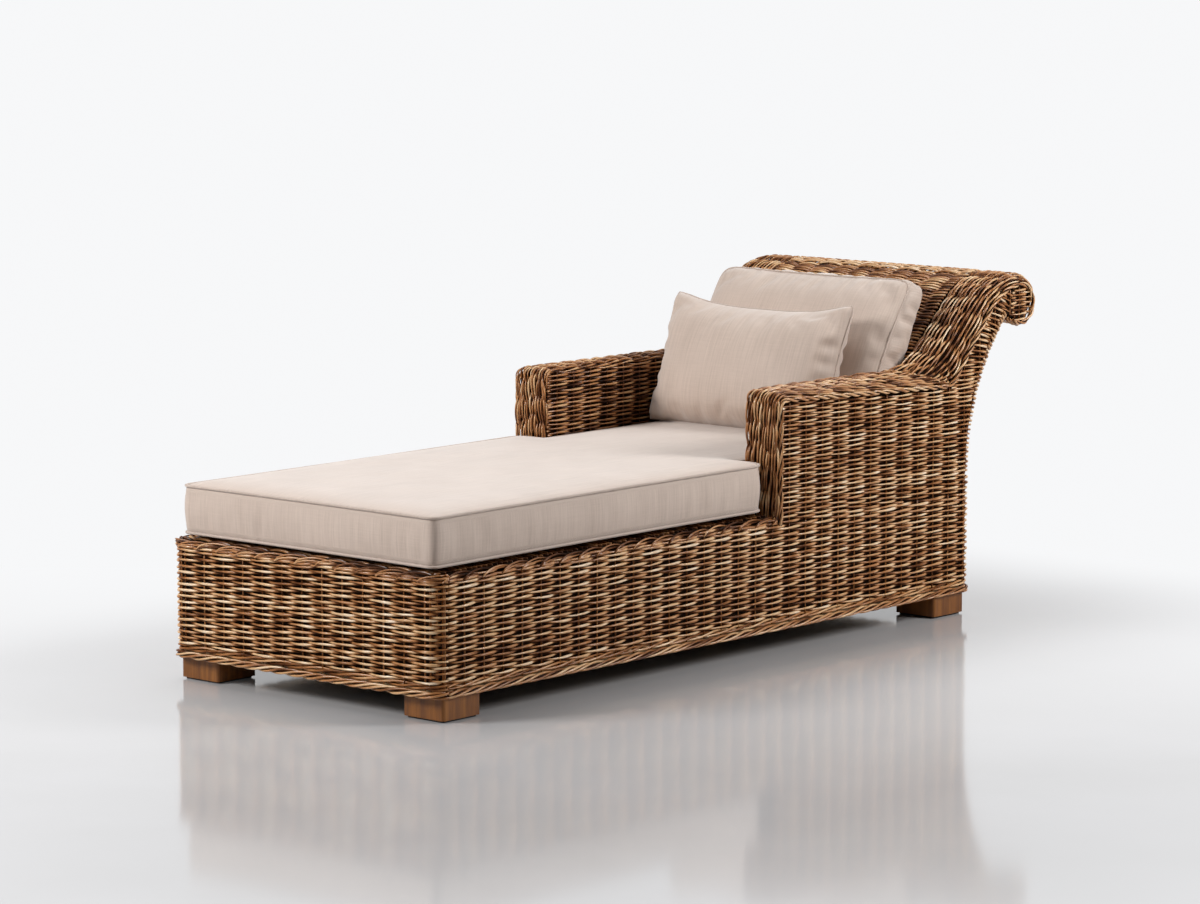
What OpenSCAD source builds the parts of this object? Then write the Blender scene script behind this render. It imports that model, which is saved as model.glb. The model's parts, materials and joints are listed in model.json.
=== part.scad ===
// Rattan sun lounger: a woven base on four timber feet, box arms that sweep
// up into a scroll-rolled back, a T-shaped seat cushion, a box back cushion
// and a lumbar pillow. Millimetres, +Z up, foot end at -Y, rolled back at +Y.
// Side outlines are drawn as walks in the Y-Z plane: runs and bends that can
// be shifted to the right, so every layer follows the one it lies under.

/* [Overall] */
// Width across the braided borders
body_w = 814; // [720:1:980]
// Length of the woven base, foot end to rear face
base_l = 1872; // [1780:1:2100]
// How far the rolled back reaches past the base
roll_reach = 244; // [220:1:290]
// Height of the top of the roll
overall_h = 801; // [780:1:860]
// Height of the seat deck
deck_z = 318; // [300:1:340]
// Radius of the woven body's upright corners
corner_r = 35; // [30:1:45]

/* [Arms and back] */
// Length of the open leg rest, foot end to arm fronts
leg_rest_l = 1120; // [1040:1:1180]
// Height of the arm tops
arm_top_z = 598; // [570:1:620]
// Width of an arm, seat side to outer face
arm_w = 101; // [96:1:130]
// Rounding of the arm's top front corner
arm_corner_r = 30; // [26:1:40]
// Angle of the swept wings above the level
sweep_angle = 38; // [34:1:42]
// Radius where the arm turns up into the wing
sweep_r = 220; // [180:1:250]
// Radius where the wing turns over to the roll
crest_r = 260; // [220:1:290]
// Radius of the roll
roll_r = 63; // [58:1:68]
// Turn of the roll from its top to where it meets the rear face
roll_turn = 220; // [210:1:226]
// Width that each wing gains towards the roll
wing_gain = 27; // [15:1:40]
// Height of the rear face's upright stretch above the base frame
rear_upright = 43; // [33:1:78]
// Distance from the rear face to the foot of the woven back
back_foot_in = 182; // [160:1:240]

/* [Weave] */
// Thickness of a woven panel
skin_t = 18; // [16:1:20]
// Distance between the upright stakes of the weave
stake_pitch = 60; // [48:1:70]
// Depth of the hollows between the stakes of the outer faces
weave_relief = 5; // [3:1:7]
// Thickness of the arm and wing bands
band_t = 16; // [14:1:18]
// Depth of the woven back behind the face of the bands
back_recess = 4; // [3:1:6]
// Diameter of the border cane of the arms
cane_d = 12; // [10:1:14]
// Diameter of the braided border round the deck
top_border_d = 26; // [24:1:30]
// Diameter of the braided border round the bottom
bottom_border_d = 18; // [16:1:20]
// How far the borders stand proud of the woven faces
braid_proud = 4; // [3:1:6]

/* [Frame] */
// Diameter of the bent rattan poles
pole_d = 28; // [24:1:32]
// Width of the timber rails
rail_w = 54; // [48:1:60]
// Height of the timber rails
rail_h = 40; // [34:1:50]
// Width of a deck slat
slat_w = 60; // [50:1:70]
// Deck slats in the leg rest
leg_slats = 8; // [6:1:9]
// Deck slats between the arms
seat_slats = 5; // [3:1:6]
// Thickness of the scroll discs
disc_t = 24; // [20:1:28]
// Scroll discs along the roll
discs = 5; // [3:2:7]
// Back rails behind the woven back
back_rails = 3; // [2:1:4]

/* [Feet] */
// Width of a square foot block
foot_w = 116; // [100:1:126]
// Height of the woven body above the floor
foot_h = 50; // [40:1:70]
// Thickness of the glide under a foot
glide_t = 4; // [3:1:6]
// Inset of the foot blocks from the sides of the body
foot_inset_x = 9; // [6:1:20]
// Inset of the foot blocks from the ends of the body
foot_inset_y = 26; // [20:1:40]
// Diameter of the foot bolts
bolt_d = 8; // [6:1:10]

/* [Cushions] */
// Thickness of the seat cushion between its seams
seat_t = 101; // [80:1:120]
// Height that the seat cushion's top crowns above its seam
seat_crown = 16; // [8:1:24]
// Inset of the seat cushion from the woven sides
seat_inset_x = 29; // [25:1:50]
// Inset of the seat cushion from the foot end
seat_inset_y = 20; // [12:1:60]
// Radius of the piping cord
piping_r = 3; // [2:0.5:4]
// Height of the back cushion along its lean
back_cushion_h = 360; // [330:1:366]
// Thickness of the back cushion between its seams
back_cushion_t = 84; // [70:1:95]
// Crown of the front of the back cushion
back_crown = 34; // [15:1:40]
// Lean of the back cushion from upright
back_cushion_lean = 24; // [20:1:28]
// Room between the lumbar pillow and each arm
pillow_room = 28; // [26:1:80]
// Height of the lumbar pillow at its corners
pillow_h = 326; // [280:1:350]
// Half thickness of the lumbar pillow
pillow_half_t = 68; // [45:1:72]
// Lean of the lumbar pillow from upright
pillow_lean = 20; // [16:1:26]

/* [Hidden] */
$fn = 16;
// Sides of the panels' corners and the scroll discs, and of the rear face's arc
corner_sides = 24;
disc_sides = 24;
arc_sides = 48;

// Clearance between pieces that lie against each other
gap = 0.3;
// Clearance round the loose cushions
ease = 3;
// Overrun of every cut
over = 1;

// Main places, worked out from the overall sizes
front_y = -(base_l + roll_reach) / 2;
back_y = front_y + base_l;
face_x = body_w / 2 - braid_proud;
face_front_y = front_y + braid_proud;
face_back_y = back_y - braid_proud;
skin_x = face_x - skin_t - gap;
skin_front_y = face_front_y + skin_t + gap;
skin_back_y = face_back_y - skin_t - gap;
arm_front_y = front_y + leg_rest_l;
arm_in_x = face_x - arm_w;
frame_top_z = deck_z - top_border_d;
rear_bend_z = frame_top_z + rear_upright;
deck_under_z = deck_z - skin_t;
skin_low_z = foot_h + bottom_border_d + 2 * gap;
roll_cy = back_y + roll_reach - roll_r;
roll_cz = overall_h - roll_r;
pole_r = pole_d / 2;
// Extra width of a corner post over a rail
post_proud = 6;
post_w = rail_w + post_proud;
cane_r = cane_d / 2;
// Depth of the bent poles under the face of the bands
pole_depth = back_recess + skin_t + gap + pole_r;

// Border cane of an arm: its own line, set below the crown of the band
// Rounding of the band's outer edge at the arm front
front_round = 18;
// Fall of the outer shoulder under the arm top at the front
shoulder_fall = 23;
// Height of the cane at the arm's front corner
cane_front_z = arm_top_z - shoulder_fall;
// Radius of the cane's front corner
cane_corner_r = 14;
// Fall of the cane along the arm, in degrees
cane_fall = 2.2;
// Radius of the cane's bend at the foot of the wing
cane_bend_r = 50;
// Angle of the cane along the wing
cane_angle = 48;
// Radius of the cane over the wing's crest
cane_crest_r = 170;
// Width of the rim between the roll and the cane's ring on its end
ring_rim = 16;
ring_r = roll_r - ring_rim;
// Drop of that ring's centre under the roll's centre
ring_drop = 12;
ring_cz = roll_cz - ring_drop;
// Width of the flat crown before the band's outer edge rounds over
crown_w = 58;
// Rounding of the band's inner edge
band_edge_r = 14;
shoulder_x = face_x - (arm_w - crown_w);
pole_x = shoulder_x - pole_r - gap;

// Seat and back
// Lean of the lower back, in degrees above the level
inner_angle = 79;
// Radius where the lower back turns into the wings' slope
inner_bend_r = 80;
seat_rear_y = face_back_y - back_foot_in;
// Part of the crest that the woven back covers, in degrees
inner_crest_turn = 28;
// Turn by which the back poles run on under the roll
back_pole_run_on = 2;

// Feet and glides
foot_edge_r = 8;
glide_inset = 6;
glide_edge_r = 6;
bolt_head_d = 2 * bolt_d;
bolt_head_h = 6;
bolt_head_z = 14;
bolt_reach = 60;

// Seat cushion
seat_low_crown = 10;
seat_edge_r = 14;
seat_inner_r = 12;
seat_pull = 5;
seat_side_pull = 3;
// Distance from the seam over which the seat cushion's crown rises
crown_reach = 150;
// Back cushion, whose gusset narrows towards its top
back_edge_r = 30;
back_pull = 5;
back_narrow_share = 0.4;
// Lumbar pillow
pillow_edge_r = 14;
pillow_pull = 20;
pillow_seam_t = 3;
pillow_shift = -18;

// Vectors in the side plane: forward, to the right, and turned about a point
function ahead(a) = [cos(a), sin(a)];
function right_of(a) = [sin(a), -cos(a)];
function turned(v, t) = [v[0] * cos(t) - v[1] * sin(t), v[0] * sin(t) + v[1] * cos(t)];

// A walk: each move is [length, 0] for a run or [radius, turn] for a bend.
// Each step holds its start, heading, size, turn and bend centre, and the
// whole walk can be shifted to its right by d.
function bend_size(m, d) = m[1] == 0 ? m[0] : m[1] > 0 ? m[0] + d : m[0] - d;
function bend_centre(p, a, r, t) = p - right_of(a) * r * sign(t);
function step_of(p, a, m, d) = let (r = bend_size(m, d)) [p, a, r, m[1], bend_centre(p, a, r, m[1])];
function step_end(s) = s[3] == 0 ? s[0] + ahead(s[1]) * s[2] : s[4] + turned(s[0] - s[4], s[3]);
function steps(p, a, moves, d, i = 0) = i >= len(moves) ? [] :
    let (s = step_of(p, a, moves[i], d))
    concat([s], steps(step_end(s), a + moves[i][1], moves, d, i + 1));
function walk(p, a, moves, d = 0) = steps(p + right_of(a) * d, a, moves, d);
function part_of(w, first, last) = [for (i = [first : last]) w[i]];

// Points and headings along a walk, with bends cut into chords that stay
// this close to the arc
chord_rise = 0.12;
pole_sides = 12;
cane_sides = 8;
function facets(s) = s[3] == 0 ? 1 : ceil(abs(s[3]) / (2 * acos(1 - chord_rise / s[2])));
function at(s, f) = s[3] == 0 ? s[0] + ahead(s[1]) * s[2] * f : s[4] + turned(s[0] - s[4], s[3] * f);
function stations(w, counts) = concat([[w[0][0], w[0][1]]],
    [for (i = [0 : len(w) - 1]) for (k = [1 : counts[i]])
        [at(w[i], k / counts[i]), w[i][1] + w[i][3] * k / counts[i]]]);
function points(w) = [for (s = stations(w, [for (s = w) facets(s)])) s[0]];

// Lengths of the two runs that a bend of radius r joins, from point p on
// heading a to point q on heading b
function cross2(u, v) = u[0] * v[1] - u[1] * v[0];
function joined(p, a, q, b, r) = let (
    trim = r * tan(abs(b - a) / 2),
    u = cross2(q - p, ahead(b)) / cross2(ahead(a), ahead(b)),
    v = norm(q - p - ahead(a) * u))
    [u - trim, v - trim];

// Radius of a bend, limited to the share of a rise that it may take up
bend_share = 0.45;
function fitted(r, turn, rise) = min(r, rise * bend_share / (1 - cos(turn)));

// The crown walk: up the arm front, along the arm, up the wing, over the roll
crown_start = [arm_front_y, frame_top_z];
wing_rise = overall_h - arm_top_z;
crown_sweep_r = fitted(sweep_r, sweep_angle, wing_rise);
crown_crest_r = fitted(crest_r, sweep_angle, wing_rise);
crest_start = [roll_cy, overall_h - crown_crest_r] + ahead(90 + sweep_angle) * crown_crest_r;
crown_runs = joined([arm_front_y + arm_corner_r, arm_top_z], 0, crest_start, sweep_angle, crown_sweep_r);
crown_moves = [[arm_top_z - arm_corner_r - frame_top_z, 0], [arm_corner_r, -90], [crown_runs[0], 0],
    [crown_sweep_r, sweep_angle], [crown_runs[1], 0], [crown_crest_r, -sweep_angle], [roll_r, -roll_turn]];
function crown(d = 0) = walk(crown_start, 90, crown_moves, d);

// The cane walk: the same journey along the outer edge, then round the ring
cane_start = [arm_front_y + front_round, frame_top_z];
cane_corner = [arm_front_y + front_round + cane_corner_r, cane_front_z - cane_corner_r];
cane_level = cane_corner + turned([-cane_corner_r, 0], -90 - cane_fall);
cane_rise = ring_cz + ring_r - cane_level[1];
cane_top_r = fitted(cane_crest_r, cane_angle, cane_rise);
cane_foot_r = fitted(cane_bend_r, cane_angle, cane_rise);
cane_crest = [roll_cy, ring_cz + ring_r - cane_top_r] + ahead(90 + cane_angle) * cane_top_r;
cane_runs = joined(cane_level, -cane_fall, cane_crest, cane_angle, cane_foot_r);
cane_moves = [[cane_front_z - cane_corner_r - frame_top_z, 0],
    [cane_corner_r, -90 - cane_fall], [cane_runs[0], 0], [cane_foot_r, cane_angle + cane_fall],
    [cane_runs[1], 0], [cane_top_r, -cane_angle], [ring_r, -roll_turn]];
function cane(d = 0) = walk(cane_start, 90, cane_moves, d);

// The woven back's walk: up from the deck, then along the wings' slope
inner_runs = joined([seat_rear_y, deck_under_z], inner_angle,
    crest_start + right_of(sweep_angle) * back_recess, sweep_angle, inner_bend_r);
inner_moves = [[inner_runs[0], 0], [inner_bend_r, sweep_angle - inner_angle], [inner_runs[1], 0],
    [crown_crest_r - back_recess, -inner_crest_turn]];
function inner(d = 0) = walk([seat_rear_y, deck_under_z], inner_angle, inner_moves, d);

// The rear face: upright, then one arc that lands on the roll
rear_land = [roll_cy, roll_cz] + ahead(90 - roll_turn) * roll_r;
rear_out = rear_land[0] - face_back_y;
rear_rise = rear_land[1] - rear_bend_z;
rear_r = (pow(rear_out, 2) + pow(rear_rise, 2)) / (2 * rear_out);
rear_turn = asin(rear_rise / rear_r);
function rear(d, run_on = 0) = walk([face_back_y, frame_top_z], 90,
    [[rear_bend_z - frame_top_z, 0], [rear_r, -rear_turn - run_on]], d);

// Half width between the wing bands at a height
function wing_x(z) = arm_in_x - wing_gain * min(1, max(0, (z - arm_top_z) / (overall_h - arm_top_z)));

// Closed outline of a rectangle with rounded corners, lower left at a
function round_rect(a, b, r, n = 6) = [for (q = [0 : 3]) for (k = [0 : n])
    let (c = [q == 0 || q == 3 ? b[0] - r : a[0] + r, q < 2 ? b[1] - r : a[1] + r])
    c + ahead(90 * q + 90 * k / n) * r];

// Places a side outline, drawn as Y and Z, so that it grows towards +X
module side(x = 0) {
    translate([x, 0, 0]) rotate([90, 0, 90]) children();
}

// Draws children on the right, or mirrored on the left
module handed(left) {
    mirror([left ? 1 : 0, 0, 0]) children();
}

// Closed solid through rings that all have the same even number of points,
// first half out, second half back; faces are triangles
module lofted(rings) {
    n = len(rings[0]);
    m = len(rings);
    cap = [for (k = [0 : n / 2 - 2]) for (h = [0, 1])
        h == 0 ? [k, k + 1, n - 2 - k] : [k, n - 2 - k, n - 1 - k]];
    far_end = (m - 1) * n;
    polyhedron(points = [for (r = rings) for (p = r) p],
        faces = concat(cap, [for (f = cap) [far_end + f[2], far_end + f[1], far_end + f[0]]],
            [for (i = [0 : m - 2]) for (k = [0 : n - 1]) for (h = [0, 1]) h == 0 ?
                [i * n + k, (i + 1) * n + k, (i + 1) * n + (k + 1) % n] :
                [i * n + k, (i + 1) * n + (k + 1) % n, i * n + (k + 1) % n]]));
}

// Round pole along a walk, at a place on X
module pole(w, r, x, sides) {
    lofted([for (s = stations(w, [for (s = w) facets(s)])) [for (k = [0 : sides - 1])
        let (u = 180 / sides * (2 * k + 1), q = s[0] + right_of(s[1]) * r * sin(u))
        [x + r * cos(u), q[0], q[1]]]]);
}

// Woven sheet between two walks, w wide along X
module sheet(outer, under, w) {
    far = points(under);
    side(-w / 2) linear_extrude(w)
        polygon(concat(points(outer), [for (i = [len(far) - 1 : -1 : 0]) far[i]]));
}

// Closed skin over a crown point, rings and a base point, outermost ring
// first to last; faces are triangles
module pillow_skin(rings, first, last) {
    n = len(rings[0]);
    m = len(rings);
    polyhedron(points = concat([first], [for (r = rings) for (p = r) p], [last]),
        faces = concat(
            [for (k = [0 : n - 1]) [0, 1 + (k + 1) % n, 1 + k]],
            [for (i = [0 : m - 2]) for (k = [0 : n - 1]) for (h = [0, 1]) h == 0 ?
                [1 + i * n + k, 1 + (i + 1) * n + (k + 1) % n, 1 + (i + 1) * n + k] :
                [1 + i * n + k, 1 + i * n + (k + 1) % n, 1 + (i + 1) * n + (k + 1) % n]],
            [for (k = [0 : n - 1]) [m * n + 1, 1 + (m - 1) * n + k, 1 + (m - 1) * n + (k + 1) % n]]));
}

// Feet

foot_x = face_x - foot_inset_x - foot_w / 2;
foot_front_y = face_front_y + foot_inset_y + foot_w / 2;
foot_rear_y = face_back_y - foot_inset_y - foot_w / 2;
bolt_x = skin_x - post_w / 2;
bolt_ys = [skin_front_y + post_w / 2, skin_back_y - post_w / 2];

// Places children at the foot bolts, which stand in the corner posts
module at_bolts(xs = [-1, 1], ys = bolt_ys) {
    for (x = xs, y = ys) translate([x * bolt_x, y, 0]) children();
}

module foot_block(x_side, y, bolt_y) {
    half = foot_w / 2;
    color("saddlebrown") difference() {
        translate([x_side * foot_x, y, glide_t]) linear_extrude(foot_h - glide_t)
            polygon(round_rect([-half, -half], [half, half], foot_edge_r));
        at_bolts([x_side], [bolt_y]) {
            cylinder(h = foot_h + over, r = bolt_d / 2 + gap);
            cylinder(h = bolt_head_z + gap, r = bolt_head_d / 2 + gap);
        }
    }
}

module foot_front_left() { foot_block(-1, foot_front_y, bolt_ys[0]); }
module foot_front_right() { foot_block(1, foot_front_y, bolt_ys[0]); }
module foot_rear_left() { foot_block(-1, foot_rear_y, bolt_ys[1]); }
module foot_rear_right() { foot_block(1, foot_rear_y, bolt_ys[1]); }

module glides() {
    half = foot_w / 2 - glide_inset;
    color([0.1, 0.1, 0.1]) for (x = [-foot_x, foot_x], y = [foot_front_y, foot_rear_y]) translate([x, y, 0])
        linear_extrude(glide_t) polygon(round_rect([-half, -half], [half, half], glide_edge_r));
}

module foot_bolts() {
    color("silver") at_bolts() {
        translate([0, 0, bolt_head_z - bolt_head_h]) cylinder(h = bolt_head_h, r = bolt_head_d / 2);
        translate([0, 0, bolt_head_z]) cylinder(h = foot_h + bolt_reach - bolt_head_z, r = bolt_d / 2);
    }
}

// Timber base frame

module corner_posts() {
    low = foot_h;
    inner_r = corner_r - skin_t - gap;
    color("burlywood") difference() {
        for (x = [-1, 1], y = [-1, 1]) {
            x0 = x > 0 ? skin_x - post_w : -skin_x;
            y0 = y > 0 ? skin_back_y - post_w : skin_front_y;
            translate([0, 0, low]) linear_extrude(frame_top_z - low)
                polygon(round_rect([x0, y0], [x0 + post_w, y0 + post_w], inner_r));
        }
        at_bolts() cylinder(h = foot_h + bolt_reach + gap, r = bolt_d / 2 + gap);
    }
}

module cross_rail(y0, z0) {
    w = 2 * (skin_x - post_w);
    color("burlywood") translate([-w / 2, y0, z0]) cube([w, rail_w, rail_h]);
}

module side_rail(z0) {
    l = skin_back_y - skin_front_y - 2 * post_w;
    color("burlywood") translate([skin_x - rail_w, skin_front_y + post_w, z0]) cube([rail_w, l, rail_h]);
}

lower_rail_z = foot_h + gap;
upper_rail_z = frame_top_z - rail_h;

module lower_rail_front() { cross_rail(skin_front_y, lower_rail_z); }
module lower_rail_rear() { cross_rail(skin_back_y - rail_w, lower_rail_z); }
module lower_rails_side() { for (left = [false, true]) handed(left) side_rail(lower_rail_z); }
module upper_rail_front() { cross_rail(skin_front_y, upper_rail_z); }
module upper_rail_rear() { cross_rail(skin_back_y - rail_w, upper_rail_z); }
module upper_rail_left() { handed(true) side_rail(upper_rail_z); }
module upper_rail_right() { side_rail(upper_rail_z); }

module deck_spine() {
    l = skin_back_y - skin_front_y - 2 * rail_w;
    color("burlywood") translate([-rail_w / 2, skin_front_y + rail_w, upper_rail_z])
        cube([rail_w, l, rail_h]);
}

slat_x = body_w / 2 - top_border_d - over;
leg_slats_y = [front_y + corner_r + braid_proud, arm_front_y - slat_w];
seat_slats_y = [arm_front_y + pole_depth + pole_r + over, seat_rear_y - slat_w];

module slat_row(span, count) {
    for (i = [0 : count - 1])
        translate([-slat_x, span[0] + (span[1] - span[0]) * i / (count - 1), frame_top_z])
            cube([2 * slat_x, slat_w, deck_under_z - frame_top_z]);
}

module deck_slats() {
    color("burlywood") {
        slat_row(leg_slats_y, leg_slats);
        slat_row(seat_slats_y, seat_slats);
    }
}

// Bent rattan frame of the arms and back

disc_r = roll_r - band_t - gap;
disc_x = pole_x;

module disc_room(extra) {
    translate([roll_cy, roll_cz, -over]) cylinder(h = disc_x + disc_t + over, r = disc_r + extra, $fn = 96);
}

module side_pole(left) {
    color("peru") handed(left) difference() {
        pole(part_of(crown(pole_depth), 0, 5), pole_r, pole_x, pole_sides);
        side() disc_room(gap);
    }
}

module back_pole(left) {
    depth = skin_t + gap + pole_r;
    color("peru") handed(left) difference() {
        pole(rear(-depth, back_pole_run_on), pole_r, pole_x, pole_sides);
        side() disc_room(gap);
    }
}

module side_pole_left() { side_pole(true); }
module side_pole_right() { side_pole(false); }
module back_pole_left() { back_pole(true); }
module back_pole_right() { back_pole(false); }

// Rails between the bent side poles, behind the slope of the woven back
module back_rail_poles() {
    slope = inner(skin_t + gap + pole_r)[2];
    reach = pole_x - pole_r - gap;
    color("peru") for (i = [0 : back_rails - 1]) side(-reach)
        translate(at(slope, (i + 1 / 2) / back_rails)) cylinder(h = 2 * reach, r = pole_r);
}

module roll_pole() {
    color("peru") side(-skin_x) translate([roll_cy, roll_cz]) cylinder(h = 2 * skin_x, r = pole_r);
}

module scroll_discs() {
    color("burlywood") for (i = [0 : discs - 1])
        side(-disc_x - disc_t / 2 + 2 * disc_x * i / (discs - 1)) translate([roll_cy, roll_cz]) difference() {
            cylinder(h = disc_t, r = disc_r, $fn = disc_sides);
            translate([0, 0, -over]) cylinder(h = disc_t + 2 * over, r = pole_r + gap);
        }
}

// Woven panels

rattan = [0.62, 0.43, 0.25];

module seat_deck() {
    x = body_w / 2 - top_border_d - gap;
    y = front_y + top_border_d + gap;
    in_x = arm_in_x - gap;
    r = corner_r + braid_proud - top_border_d - gap;
    step_y = arm_front_y - gap;
    end_y = seat_rear_y - gap;
    color(rattan) translate([0, 0, deck_under_z]) linear_extrude(skin_t) polygon(concat(
        [for (k = [0 : 6]) [x - r, y + r] + ahead(-90 + 15 * k) * r],
        [[x, step_y], [in_x, step_y], [in_x, end_y], [-in_x, end_y], [-in_x, step_y], [-x, step_y]],
        [for (k = [0 : 6]) [-x + r, y + r] + ahead(180 + 15 * k) * r]));
}

// The weave swells at its stakes, which are spaced evenly round the rim of the
// woven body, from the middle of the foot end
rim_run_x = 2 * (face_x - corner_r);
rim_run_y = face_back_y - face_front_y - 2 * corner_r;
rim_corner = PI / 2 * corner_r;
rim_half = rim_run_x + rim_run_y + 2 * rim_corner;
rim_pitch = rim_half / round(rim_half / stake_pitch);
side_start = rim_run_x / 2 + rim_corner;
// Shares of the stakes' spacing that a hollow takes at its mouth and its floor
hollow_mouth_share = 0.62;
hollow_floor_share = 0.3;

// Hollows of a face in plan, between two distances u round the rim, with n
// inwards from the face
module hollows(first, last, origin) {
    mouth = rim_pitch * hollow_mouth_share / 2;
    bed = rim_pitch * hollow_floor_share / 2;
    for (k = [ceil((first + mouth) / rim_pitch - 1 / 2) : floor((last - mouth) / rim_pitch - 1 / 2)])
        translate([(k + 1 / 2) * rim_pitch - origin, 0])
            polygon([[-mouth, -over], [mouth, -over], [mouth, 0], [bed, weave_relief], [-bed, weave_relief],
                [-mouth, 0]]);
}

// Places the side face's plan drawing, u towards the rolled back, at a height
module side_plan(z) {
    translate([face_x, face_front_y + corner_r, z]) rotate([0, 0, 90]) children();
}

// Cross-section of an end panel that wraps both upright corners: u along X,
// n inwards from the woven face
module wrapped_end() {
    r = corner_r;
    inner_r = r - skin_t;
    difference() {
        union() {
            translate([-face_x + r, 0]) square([2 * (face_x - r), skin_t]);
            for (s = [-1, 1]) translate([s * (face_x - r), r]) intersection() {
                circle(r = r, $fn = corner_sides);
                translate([s > 0 ? 0 : -r, -r]) square([r, r]);
            }
        }
        for (s = [-1, 1]) translate([s * (face_x - r), r]) circle(r = inner_r, $fn = corner_sides);
        hollows(-rim_run_x / 2, rim_run_x / 2, 0);
    }
}

module foot_panel() {
    color(rattan) translate([0, face_front_y, skin_low_z])
        linear_extrude(frame_top_z - skin_low_z) wrapped_end();
}

module rear_panel_lower() {
    color(rattan) translate([0, face_back_y, skin_low_z]) mirror([0, 1, 0])
        linear_extrude(rear_bend_z - skin_low_z) wrapped_end();
}

// The same section, swung about the centre of the rear face's arc
module rear_panel_upper() {
    color(rattan) side() translate([face_back_y + rear_r, rear_bend_z]) rotate([0, 0, 180 - rear_turn])
        rotate_extrude(angle = rear_turn, $fn = arc_sides)
            translate([rear_r, 0]) rotate(-90) wrapped_end();
}

module base_side(left) {
    color(rattan) handed(left) side_plan(skin_low_z) linear_extrude(frame_top_z - skin_low_z) difference() {
        square([rim_run_y, skin_t]);
        hollows(side_start, side_start + rim_run_y, side_start);
    }
}

module base_side_left() { base_side(true); }
module base_side_right() { base_side(false); }

module arm_outer(left) {
    edge = cane_r + gap;
    far = points(rear(-corner_r - gap));
    first = side_start + arm_front_y - face_front_y - corner_r;
    color(rattan) handed(left) difference() {
        side(face_x - skin_t) linear_extrude(skin_t)
            polygon(concat(points(cane(edge)), [for (i = [len(far) - 1 : -1 : 0]) far[i]]));
        side_plan(frame_top_z - over) linear_extrude(overall_h)
            hollows(first, side_start + rim_run_y, side_start);
    }
}

module arm_outer_left() { arm_outer(true); }
module arm_outer_right() { arm_outer(false); }

module arm_inner(left) {
    top = points(part_of(crown(band_t + gap), 0, 4));
    lift = deck_under_z - frame_top_z;
    reach = arm_top_z;
    foot_at = [seat_rear_y - gap, deck_under_z];
    color(rattan) handed(left) side(arm_in_x) linear_extrude(skin_t) intersection() {
        polygon(concat(top, [[top[len(top) - 1][0], frame_top_z]]));
        polygon([[arm_front_y, deck_under_z], foot_at, foot_at + ahead(inner_angle) * reach,
            [arm_front_y, deck_under_z + lift + reach]]);
    }
}

module arm_inner_left() { arm_inner(true); }
module arm_inner_right() { arm_inner(false); }

module inner_back() {
    low_x = arm_in_x - gap;
    top_x = arm_in_x - wing_gain - gap;
    color(rattan) intersection() {
        sheet(inner(), inner(skin_t), 2 * arm_in_x);
        translate([0, back_y + roll_reach, 0]) rotate([90, 0, 0])
            linear_extrude(back_y + roll_reach - arm_front_y)
            polygon([[-low_x, 0], [low_x, 0], [low_x, arm_top_z], [top_x, overall_h], [-top_x, overall_h],
                [-low_x, arm_top_z]]);
    }
}

// Woven cover of the roll between the wing bands
module roll_cover() {
    w = 2 * (arm_in_x - wing_gain - gap);
    start_angle = sweep_angle - inner_crest_turn;
    start = [roll_cy, overall_h - crown_crest_r] + ahead(90 + start_angle) * crown_crest_r;
    moves = [[crown_crest_r, -start_angle], [roll_r, -roll_turn]];
    color(rattan) sheet(walk(start, start_angle, moves), walk(start, start_angle, moves, band_t), w);
}

// One ring of a band: in over the inner edge, across the crown, round the
// outer shoulder to the cane, and back on the underside
edge_turns = [90, 45, 0];
shoulder_turns = [0, 22.5, 45, 67.5, 90];
function shoulder(p, q, t, x) = let (e = q + (p - q) * cos(t))
    [shoulder_x + (x - shoulder_x) * sin(t), e[0], e[1]];
function band_ring(c, b) = let (
    p = c[0],
    q = b[0],
    n = right_of(c[1]),
    low = p + n * band_t)
    concat(
        [for (k = edge_turns) let (e = p + n * band_edge_r * (1 - cos(k)))
            [wing_x(e[1]) + band_edge_r * (1 - sin(k)), e[0], e[1]]],
        [for (t = shoulder_turns) shoulder(p, q, t, face_x)],
        [for (i = [len(shoulder_turns) - 1 : -1 : 0]) shoulder(low, q, shoulder_turns[i], face_x - band_t)],
        [for (f = [1, 1 / 2, 0]) [wing_x(low[1]) + band_edge_r * f, low[0], low[1]]]);

band_counts = [1, 6, 1, 9, 1, 9, 24];
crown_stations = stations(crown(), band_counts);
edge_stations = stations(cane(-cane_r - gap), band_counts);
wing_first = band_counts[0] + band_counts[1] + band_counts[2];

module band(left, first, last) {
    color([0.66, 0.46, 0.27]) handed(left)
        lofted([for (i = [first : last]) band_ring(crown_stations[i], edge_stations[i])]);
}

module arm_band_left() { band(true, 0, wing_first); }
module arm_band_right() { band(false, 0, wing_first); }
module wing_band_left() { band(true, wing_first, len(crown_stations) - 1); }
module wing_band_right() { band(false, wing_first, len(crown_stations) - 1); }

// Borders

module arm_cane(left) {
    color([0.7, 0.5, 0.3]) handed(left)
        pole(cane(), cane_r, face_x + braid_proud - cane_r - gap, cane_sides);
}

module arm_cane_left() { arm_cane(true); }
module arm_cane_right() { arm_cane(false); }

// Border bar along an end of the body, with a quarter bend at each corner
module end_bar(d, z) {
    r = corner_r + braid_proud - d / 2;
    x = body_w / 2 - d / 2 - r;
    color([0.6, 0.4, 0.22]) translate([0, front_y + d / 2, z]) {
        translate([-x, 0, 0]) rotate([0, 90, 0]) cylinder(h = 2 * x, r = d / 2);
        for (c = [[x, -90], [-x, 180]]) translate([c[0], r, 0]) rotate([0, 0, c[1]])
            rotate_extrude(angle = 90) translate([r, 0]) circle(r = d / 2);
    }
}

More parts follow.
